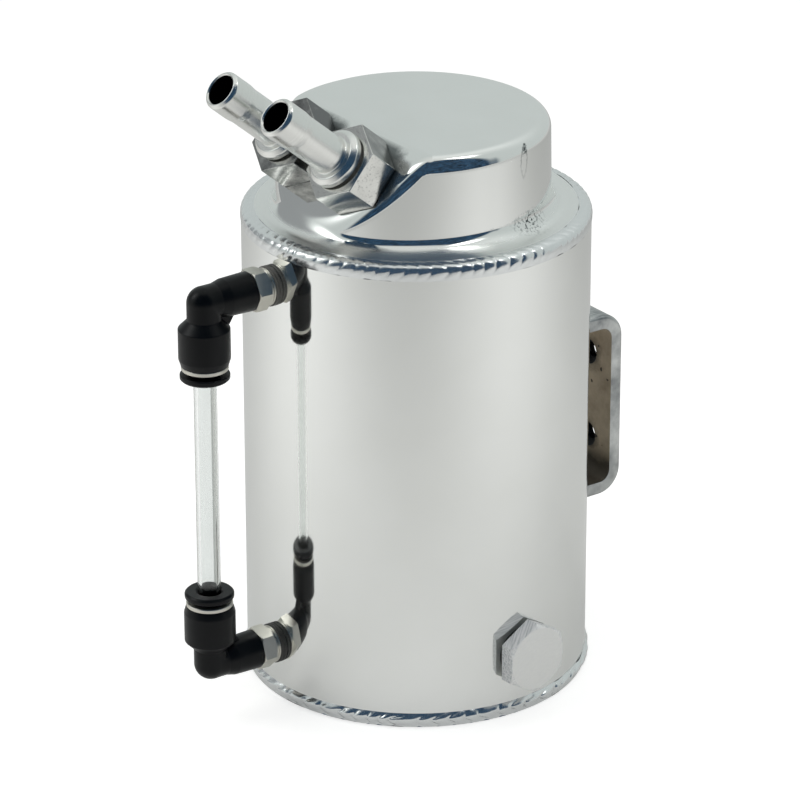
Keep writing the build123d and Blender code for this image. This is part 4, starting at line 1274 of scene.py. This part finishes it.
# %% [markdown]
# ## The sight gauge
# Two push-in elbows hold the clear tube. Each has a moulded body, a plated stud that screws it to the wall, a
# sealing ring, a plated guide ring in its mouth and a collar that is pressed to let the tube go. The body is
# two lathe forms and a web joined together, the rest are lathe forms, and the sealing ring is a round ring
# whose wall side is laid on the can's curve.

# %% Studs and sealing rings
SEAL_THICKNESS, SEAL_RADIUS = 1.6, 5.25
STUD_FLATS, HEX_FOOT, HEX_TOP = 10.0, 2.8, 6.8
STUD_CORNER, STUD_EDGE = STUD_FLATS / math.sqrt(3), 0.12
STUD_THREAD, STUD_SHOULDER, STUD_DEPTH = 4.6, 4.95, 8.0
LINE_LOW, LINE_MIDDLE, LINE_HIGH = 2.05, 2.2, 2.35
STUD_SPIGOT, STUD_END, STUD_SOCKET, OIL_PASSAGE = 3.3, 12.8, 3.35, 2.0
STUD_TURNS = {"upper": 2.0, "lower": 48.0}
GAUGE_WALLS = {"upper": off_wall(SIGHT_FRONT, SIGHT_HIGH), "lower": off_wall(SIGHT_FRONT, SIGHT_LOW)}


def on_wall(mesh, thickness, place):
    """Bends a ring's back onto the can's wall and sets it in its place."""
    spots = points_of(mesh)
    radius = CAN_RADIUS * MM
    sink = np.sqrt(radius**2 - spots[:, 0] ** 2) - radius
    spots[:, 2] += sink * (1 - np.clip(spots[:, 2] / (thickness * MM), 0, 1))
    move_points(mesh, spots)
    mesh.transform(place)
    return soften(plain(mesh), angle=40.0)


for end, wall_place in GAUGE_WALLS.items():
    crown = turned("crown", [
        (0, HEX_FOOT),
        (STUD_FLATS / 2 - 0.1, HEX_FOOT),
        (STUD_CORNER, HEX_FOOT + 0.55),
        (STUD_CORNER, HEX_TOP - 0.3),
        (STUD_CORNER - 0.5, HEX_TOP),
        (0, HEX_TOP),
    ], wall_place, closed=False)
    shank = turned("shank", [
        (0, -STUD_DEPTH),
        (STUD_THREAD, -STUD_DEPTH),
        (STUD_THREAD, SEAL_THICKNESS),
        (STUD_SHOULDER, SEAL_THICKNESS, 0.15),
        (STUD_SHOULDER, LINE_LOW, 0.15),
        (STUD_HOLE, LINE_MIDDLE),
        (STUD_SHOULDER, LINE_HIGH, 0.15),
        (STUD_SHOULDER, HEX_FOOT + 0.2),
        (0, HEX_FOOT + 0.2),
    ], wall_place, closed=False, steps=3)
    spigot = rod("spigot", STUD_SPIGOT, HEX_TOP - 0.2, STUD_END, wall_place, segments=48)
    passage = rod("passage", OIL_PASSAGE, -THROUGH, THROUGH, wall_place, segments=48)
    stud = hexagon("plated_stud", STUD_FLATS, HEX_FOOT, HEX_TOP, wall_place, start=STUD_TURNS[end])
    stud = finished(stud, kept_in(crown), edge_round(STUD_EDGE), joined_with(shank), joined_with(spigot),
                    cut_by(passage))
    piece("plated_stud_" + end, crisp(stud, angle=25.0), "can", "nickel_brass", "sight_stud_" + end)
    middle = SEAL_THICKNESS / 2
    ring = turned("wall_seal", [
        (STUD_HOLE, 0),
        (SEAL_RADIUS, 0, 0.35),
        (SEAL_RADIUS, middle - 0.1, 0.3),
        (SEAL_RADIUS - 0.4, middle, 0.05),
        (SEAL_RADIUS, middle + 0.1, 0.3),
        (SEAL_RADIUS, SEAL_THICKNESS, 0.35),
        (STUD_HOLE, SEAL_THICKNESS),
    ])
    ring = on_wall(ring, SEAL_THICKNESS, wall_place)
    piece("wall_seal_" + end, ring, "can", "seal_rubber", "stud_seal_" + end)
print("studs and seals", list(GAUGE_WALLS))

# %% Elbows, rings and collars
TUBE_AXIS = 65.3
ARM_LENGTH = 13.5
NECK_RADIUS, BODY_RADIUS, MOUTH_RADIUS = 4.35, 6.65, 6.05
NECK_TOP, BODY_FOOT, BODY_TOP, MOUTH = 4.5, 6.8, 14.8, 16.75
ARM_NECK, ARM_WAIST, ARM_WAIST_RADIUS, ARM_RADIUS = 3.5, 6.0, 4.95, 5.15
SOCKET_RADIUS, TUBE_BORE, SOCKET_FOOT, SEAL_SEAT = 4.9, 3.05, 6.0, 9.65
STUD_SEAT = 7.5
GUIDE_BORE, GUIDE_FOOT, GUIDE_TOP = 4.15, 12.15, 17.85
FLANGE, FLANGE_FACE, FLANGE_RADIUS = 18.95, 20.65, 6.4
COLLAR_BORE, SLEEVE_RADIUS, SLEEVE_FOOT = 3.1, 4.1, 13.25
GAUGE_PORTS = {
    "upper": aligned((0, -TUBE_AXIS, SIGHT_HIGH), (1, 0, 0), (0, 0, -1)),
    "lower": aligned((0, -TUBE_AXIS, SIGHT_LOW), (-1, 0, 0), (0, 0, 1)),
}
TO_STUD = Matrix.Rotation(math.radians(90), 4, "X")
WEB_HALF, WEB_REACH = 1.5, 8.15
WEB_OUTLINE = ((0, 0), (WEB_REACH, 0), (WEB_REACH, NECK_TOP), (BODY_RADIUS, BODY_FOOT), (0, BODY_FOOT))
dome_turns = np.linspace(0, math.pi / 2, 13)
dome = [(NECK_RADIUS * math.sin(t), -NECK_RADIUS * math.cos(t)) for t in dome_turns]
web_points = [(x, -y, z) for x in (-WEB_HALF, WEB_HALF) for y, z in WEB_OUTLINE]
web_faces = [(0, 1, 2, 3, 4), (9, 8, 7, 6, 5)]
web_faces += [(i, 5 + i, 5 + (i + 1) % 5, (i + 1) % 5) for i in range(5)]
for end, port_place in GAUGE_PORTS.items():
    arm_place = port_place @ TO_STUD
    body = plain(turned("moulded_elbow", dome + [
        (NECK_RADIUS, NECK_TOP, 0.5),
        (BODY_RADIUS, BODY_FOOT, 0.5),
        (BODY_RADIUS, BODY_TOP, 1.2),
        (MOUTH_RADIUS, MOUTH, 0.2),
        (0, MOUTH),
    ], port_place, closed=False))
    arm = turned("arm", [
        (0, -0.01),
        (NECK_RADIUS - 0.02, -0.01),
        (NECK_RADIUS - 0.02, ARM_NECK, 1.0),
        (ARM_WAIST_RADIUS, ARM_WAIST, 1.2),
        (ARM_RADIUS, ARM_LENGTH, 0.25),
        (0, ARM_LENGTH),
    ], arm_place, closed=False)
    web = flat_mesh("web", np.array(web_points) * MM, web_faces)
    web.transform(port_place)
    socket = turned("socket", [
        (0, SOCKET_FOOT),
        (TUBE_BORE, SOCKET_FOOT),
        (TUBE_BORE, SEAL_SEAT),
        (SOCKET_RADIUS, SEAL_SEAT),
        (SOCKET_RADIUS, THROUGH),
        (0, THROUGH),
    ], port_place, segments=64, closed=False)
    stud_bore = rod("stud_bore", STUD_SOCKET, STUD_SEAT, THROUGH, arm_place, segments=48)
    body = finished(body, joined_with(arm), joined_with(web), cut_by(socket), cut_by(stud_bore))
    piece("moulded_elbow_" + end, soften(body, angle=40.0), "can", "black_nylon", "elbow_" + end)
    guide = turned("mouth_ring", [
        (GUIDE_BORE, GUIDE_FOOT),
        (SOCKET_RADIUS, GUIDE_FOOT),
        (SOCKET_RADIUS, MOUTH),
        (MOUTH_RADIUS, MOUTH, 0.15),
        (MOUTH_RADIUS, GUIDE_TOP, 0.3),
        (GUIDE_BORE, GUIDE_TOP, 0.2),
    ], port_place)
    piece("mouth_ring_" + end, guide, "can", "nickel_brass", "guide_ring_" + end)
    collar = turned("press_collar", [
        (COLLAR_BORE, SLEEVE_FOOT),
        (SLEEVE_RADIUS, SLEEVE_FOOT),
        (SLEEVE_RADIUS, FLANGE, 0.3),
        (FLANGE_RADIUS, FLANGE, 0.35),
        (FLANGE_RADIUS, FLANGE_FACE - 0.5, 0.3),
        (FLANGE_RADIUS - 0.5, FLANGE_FACE, 0.3),
        (COLLAR_BORE + 0.5, FLANGE_FACE, 0.3),
        (COLLAR_BORE, FLANGE_FACE - 0.5, 0.2),
    ], port_place)
    piece("press_collar_" + end, collar, "release_collar_" + end, "black_nylon", "release_collar_" + end)
print("elbows", list(GAUGE_PORTS))

# %% Sight tube
TUBE_LOW, TUBE_HIGH, TUBE_INSIDE, TUBE_OUTSIDE = 21.5, 109.8, 2.0, 3.0
tube = turned("drawn_tube", [
    (TUBE_INSIDE, TUBE_LOW),
    (TUBE_OUTSIDE, TUBE_LOW, 0.1),
    (TUBE_OUTSIDE, TUBE_HIGH, 0.1),
    (TUBE_INSIDE, TUBE_HIGH),
], Matrix.Translation((0, -TUBE_AXIS * MM, 0)), steps=2)
piece("drawn_tube", tube, "can", "clear_tube", "sight_tube")
print("tube length", TUBE_HIGH - TUBE_LOW, "mm")

# %% [markdown]
# ## The drain plug
# A hexagon head whose corners were turned off to a circle, and a threaded shank that shows as it is
# unscrewed. The head is a six-sided bar kept inside a turned crown. The thread is a lathe form whose points
# are then moved inwards along a helix, which is lighter than cutting one.

# %% Drain plug and its seal
DRAIN_WALL = off_wall(DRAIN_TURN, DRAIN_HEIGHT)
PLUG_FOOT, PLUG_FACE, PLUG_FLATS = 0.8, 5.0, 17.0
PLUG_CORNER, PLUG_EDGE = PLUG_FLATS / math.sqrt(3), 0.14
THREAD_RADIUS, THREAD_PITCH, THREAD_DEPTH, THREAD_LEAD, SHANK_END = 6.0, 1.5, 0.85, 0.6, -7.7
THREAD_LEVELS, GROOVE_FULL, GROOVE_SLOPE = 70, 1.35, 3.1
CROWN_DROP, PLUG_SEAL_BORE, PLUG_SEAL, SEAL_LIFT = 0.8, 6.05, 7.4, 0.2


def threaded(mesh, radius, pitch, depth, low, high):
    """Moves a shank's points inwards along a helix, fading out at both ends of the thread."""
    spots = points_of(mesh)
    reach = np.hypot(spots[:, 0], spots[:, 1])
    phase = (spots[:, 2] / (pitch * MM) - np.arctan2(spots[:, 1], spots[:, 0]) / (2 * math.pi)) % 1.0
    groove = np.clip(GROOVE_FULL - GROOVE_SLOPE * np.abs(phase - 0.5), 0, 1)
    level, turn = spots[:, 2], pitch * MM
    fade = np.clip((level - low * MM) / turn, 0, 1) * np.clip((high * MM - level) / turn, 0, 1)
    on_shank = (reach > 0.95 * radius * MM) & (level >= low * MM) & (level <= high * MM)
    scale = np.where(on_shank, 1 - groove * fade * depth * MM / np.maximum(reach, 1e-9), 1.0)
    spots[:, :2] *= scale[:, None]
    move_points(mesh, spots)
    return mesh


thread_low, thread_high = SHANK_END + THREAD_LEAD, PLUG_FOOT - THREAD_LEAD
bar = [(0, SHANK_END), (THREAD_RADIUS - THREAD_LEAD, SHANK_END)]
bar += [(THREAD_RADIUS, z) for z in np.linspace(thread_low, thread_high, THREAD_LEVELS)]
bar += [(THREAD_RADIUS, PLUG_FOOT + 0.3), (0, PLUG_FOOT + 0.3)]
shank = plain(turned("shank", bar, segments=72, closed=False))
shank = threaded(shank, THREAD_RADIUS, THREAD_PITCH, THREAD_DEPTH, thread_low, thread_high)
shank.transform(DRAIN_WALL)
crown = turned("crown", [
    (0, PLUG_FOOT),
    (PLUG_CORNER, PLUG_FOOT),
    (PLUG_CORNER, PLUG_FACE - CROWN_DROP),
    (PLUG_FLATS / 2 - 0.05, PLUG_FACE),
    (0, PLUG_FACE),
], DRAIN_WALL, segments=160, closed=False)
plug = hexagon("milled_plug", PLUG_FLATS, PLUG_FOOT, PLUG_FACE, DRAIN_WALL, start=30.0)
plug = finished(plug, kept_in(crown), edge_round(PLUG_EDGE, angle=25.0), joined_with(shank))
plug = crisp(plug, angle=22.0)
plug_out = (DRAIN_WALL.to_3x3() @ Vector((0, 0, 1))).normalized()


def scoring(centre, normal):
    """How strongly a face of the plug's head was scored: the flats fully, the turned edge a little."""
    lean = abs(normal.dot(plug_out))
    return 1.0 if lean < 0.3 else 0.45 if lean < 0.97 else 0.0


mark_faces(plug, "brushed", scoring)
piece("milled_plug", plug, "drain_plug", "plug_aluminium", "drain_plug")
ring = turned("plug_seal", [
    (PLUG_SEAL_BORE, 0),
    (PLUG_SEAL, 0, 0.1),
    (PLUG_SEAL, PLUG_FOOT, 0.2),
    (PLUG_SEAL_BORE, PLUG_FOOT),
])
ring = on_wall(ring, PLUG_FOOT, Matrix.Identity(4))
spots = points_of(ring)
spots[:, 2] += SEAL_LIFT * MM * (1 - np.clip(spots[:, 2] / (PLUG_FOOT * MM), 0, 1))
move_points(ring, spots)
ring.transform(DRAIN_WALL)
piece("plug_seal", ring, "drain_seal", "seal_rubber", "drain_seal")
print("plug faces", len(plug.polygons))

# %% [markdown]
# ## The strap bracket
# Flat bar bent to a U and welded to the back of the can. Its section, rounded on the outside, is carried
# along the bend, and the two feet are laid on the can's curve. Two tapped holes go through the web, and a
# short rippled fillet weld closes each foot.

# %% Bent strap
STRAP_WIDTH, STRAP_THICKNESS, STRAP_HEIGHT = 20.0, 3.8, 52.0
WEB_OUTSIDE = 60.5
BEND_OUTSIDE = 7.0
BEND_STEPS = 12
FOOT_SINK, LEG_STRAIGHT = 0.2, 4.0
half_width, half_thickness = STRAP_WIDTH / 2, STRAP_THICKNESS / 2
section = outline([
    (-half_width, half_thickness, 1.0),
    (-half_width, -half_thickness, 0.2),
    (half_width, -half_thickness, 0.2),
    (half_width, half_thickness, 1.0),
], steps=4)
bend = BEND_OUTSIDE - half_thickness
bend_y = WEB_OUTSIDE - BEND_OUTSIDE
path, outs = [], []
for side in (1, -1):
    bend_z = STRAP_MIDDLE + side * (STRAP_HEIGHT / 2 - BEND_OUTSIDE)
    leg = [((y, bend_z + side * bend), (0, side)) for y in (CAN_RADIUS - FOOT_SINK, bend_y - LEG_STRAIGHT)]
    arc = []
    for turn in np.linspace(math.pi / 2, 0, BEND_STEPS + 1):
        out = (math.cos(turn), side * math.sin(turn))
        arc.append(((bend_y + bend * out[0], bend_z + bend * out[1]), out))
    half_path = leg + arc
    for spot, out in half_path if side > 0 else half_path[::-1]:
        path.append(spot)
        outs.append(out)
path, outs = np.array(path) * MM, np.array(outs)
origins = np.stack([0 * path[:, 0], path[:, 0], path[:, 1]], 1)
along = np.stack([0 * outs[:, 0], outs[:, 0], outs[:, 1]], 1)
across = np.tile((1.0, 0.0, 0.0), (len(path), 1))
strap = swept("bent_strap", section, origins, across, along, loop=False)
spots = points_of(strap)
count = len(section[0])
for station in (0, len(path) - 1):
    foot = slice(station * count, (station + 1) * count)
    spots[foot, 1] = np.sqrt((CAN_RADIUS * MM) ** 2 - spots[foot, 0] ** 2)
move_points(strap, spots)
strap = plain(strap)
print("stations along the strap", len(path))

# %% Tapped holes, and marks for the tan film and painted shade
HOLE_RADIUS, HOLE_MINOR, SINK_RADIUS, SINK_DEPTH = 2.5, 2.05, 3.6, 1.1
TAP_START, TAP_STEP, TAP_STEPS, TAP_END = 1.2, 0.4, 12, 6.0
LEG_CLEAR, WEB_CLEAR = 3 * MM, 1.5 * MM
drills = []
for side in (-1, 1):
    height = STRAP_MIDDLE + side * HOLE_SPACING / 2
    hole_place = aligned((0, WEB_OUTSIDE - STRAP_THICKNESS, height), (1, 0, 0), (0, 1, 0))
    bit = [(0, -2), (SINK_RADIUS + 2, -2), (SINK_RADIUS, 0), (HOLE_RADIUS, SINK_DEPTH)]
    for step in range(TAP_STEPS):
        bit.append((HOLE_MINOR if step % 2 else HOLE_RADIUS, TAP_START + TAP_STEP * step))
    tap = turned("tap", bit + [(0, TAP_END)], hole_place, segments=48, closed=False)
    drills.append(cut_by(tap))
strap = finished(strap, *drills)
strap = crisp(strap, angle=30.0)
web_inside = (WEB_OUTSIDE - STRAP_THICKNESS) * MM
top, bottom = (STRAP_MIDDLE + STRAP_HEIGHT / 2) * MM, (STRAP_MIDDLE - STRAP_HEIGHT / 2) * MM


def in_bend(centre, normal):
    """True on the strap's inside faces, which take the tan film, the spots and the painted shade."""
    between_legs = bottom + LEG_CLEAR < centre.z < top - LEG_CLEAR
    return between_legs and centre.y < web_inside + WEB_CLEAR and abs(normal.x) < 0.7


def in_hole(centre, normal):
    """True on the walls of the two holes, which are painted dark as shade."""
    levels = [(STRAP_MIDDLE + s * HOLE_SPACING / 2) * MM for s in (-1, 1)]
    nearest = min(math.hypot(centre.x, centre.z - level) for level in levels)
    return nearest < SINK_RADIUS * MM and abs(normal.y) < 0.95


mark_faces(strap, "inside", in_bend)
mark_faces(strap, "shaded_recess", in_hole)
piece("bent_strap", strap, "can", "strap_aluminium", "bracket")
print("strap faces", len(strap.polygons))

# %% Bracket welds
WELD_LEG, WELD_HALF, WELD_PROUD = 2.5, 8.0, 0.35
WELD_STEPS, WELD_STATIONS = 12, 121
for end, side in (("upper", 1), ("lower", -1)):
    foot = STRAP_MIDDLE + side * STRAP_HEIGHT / 2
    corner = (CAN_RADIUS - 0.05, foot - 0.05 * side)
    face = bulged((CAN_RADIUS + WELD_LEG, foot), (CAN_RADIUS, foot + WELD_LEG), WELD_PROUD, WELD_STEPS)
    if side < 0:
        face = [(a, 2 * foot - b) for a, b in reversed(face)]
    half = math.asin(WELD_HALF / CAN_RADIUS)
    angles = np.linspace(math.pi / 2 - half, math.pi / 2 + half, WELD_STATIONS)
    across = np.stack([np.cos(angles), np.sin(angles), 0 * angles], 1)
    along = np.tile((0.0, 0.0, 1.0), (len(angles), 1))
    shape, axis = outline(face + [corner]), np.zeros((len(angles), 3))
    bead = plain(swept("strap_bead", shape, axis, across, along, loop=False))
    bead = rippled(bead, Ripples=120.0, Depth=0.3, Crescent=0.8, Unevenness=1.2, Patchiness=0.4,
                   Fading=0.3, Seed=5.0 + side, Material=weld_metal)
    piece("strap_bead_" + end, bead, "can", "weld_aluminium", "bracket_weld_" + end)
print("weld stations", WELD_STATIONS)

# %% [markdown]
# ## The hidden pieces
# The bosses behind the wall and the seals and rings inside the elbows never show, so their CAD solids stay
# and only take the right finish.

# %% Finishes on the hidden solids
HIDDEN = {"sight_boss": "plain_aluminium", "tube_seal": "seal_rubber", "grip_ring": "spring_steel"}
inside_slots = {f"{stem}_{end}": slot for stem, slot in HIDDEN.items() for end in ("upper", "lower")}
inside_slots["drain_boss"] = "plain_aluminium"
for name, slot in inside_slots.items():
    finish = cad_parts[name].data.materials
    finish.clear()
    finish.append(FINISHES[slot])
print("hidden solids", sorted(inside_slots))
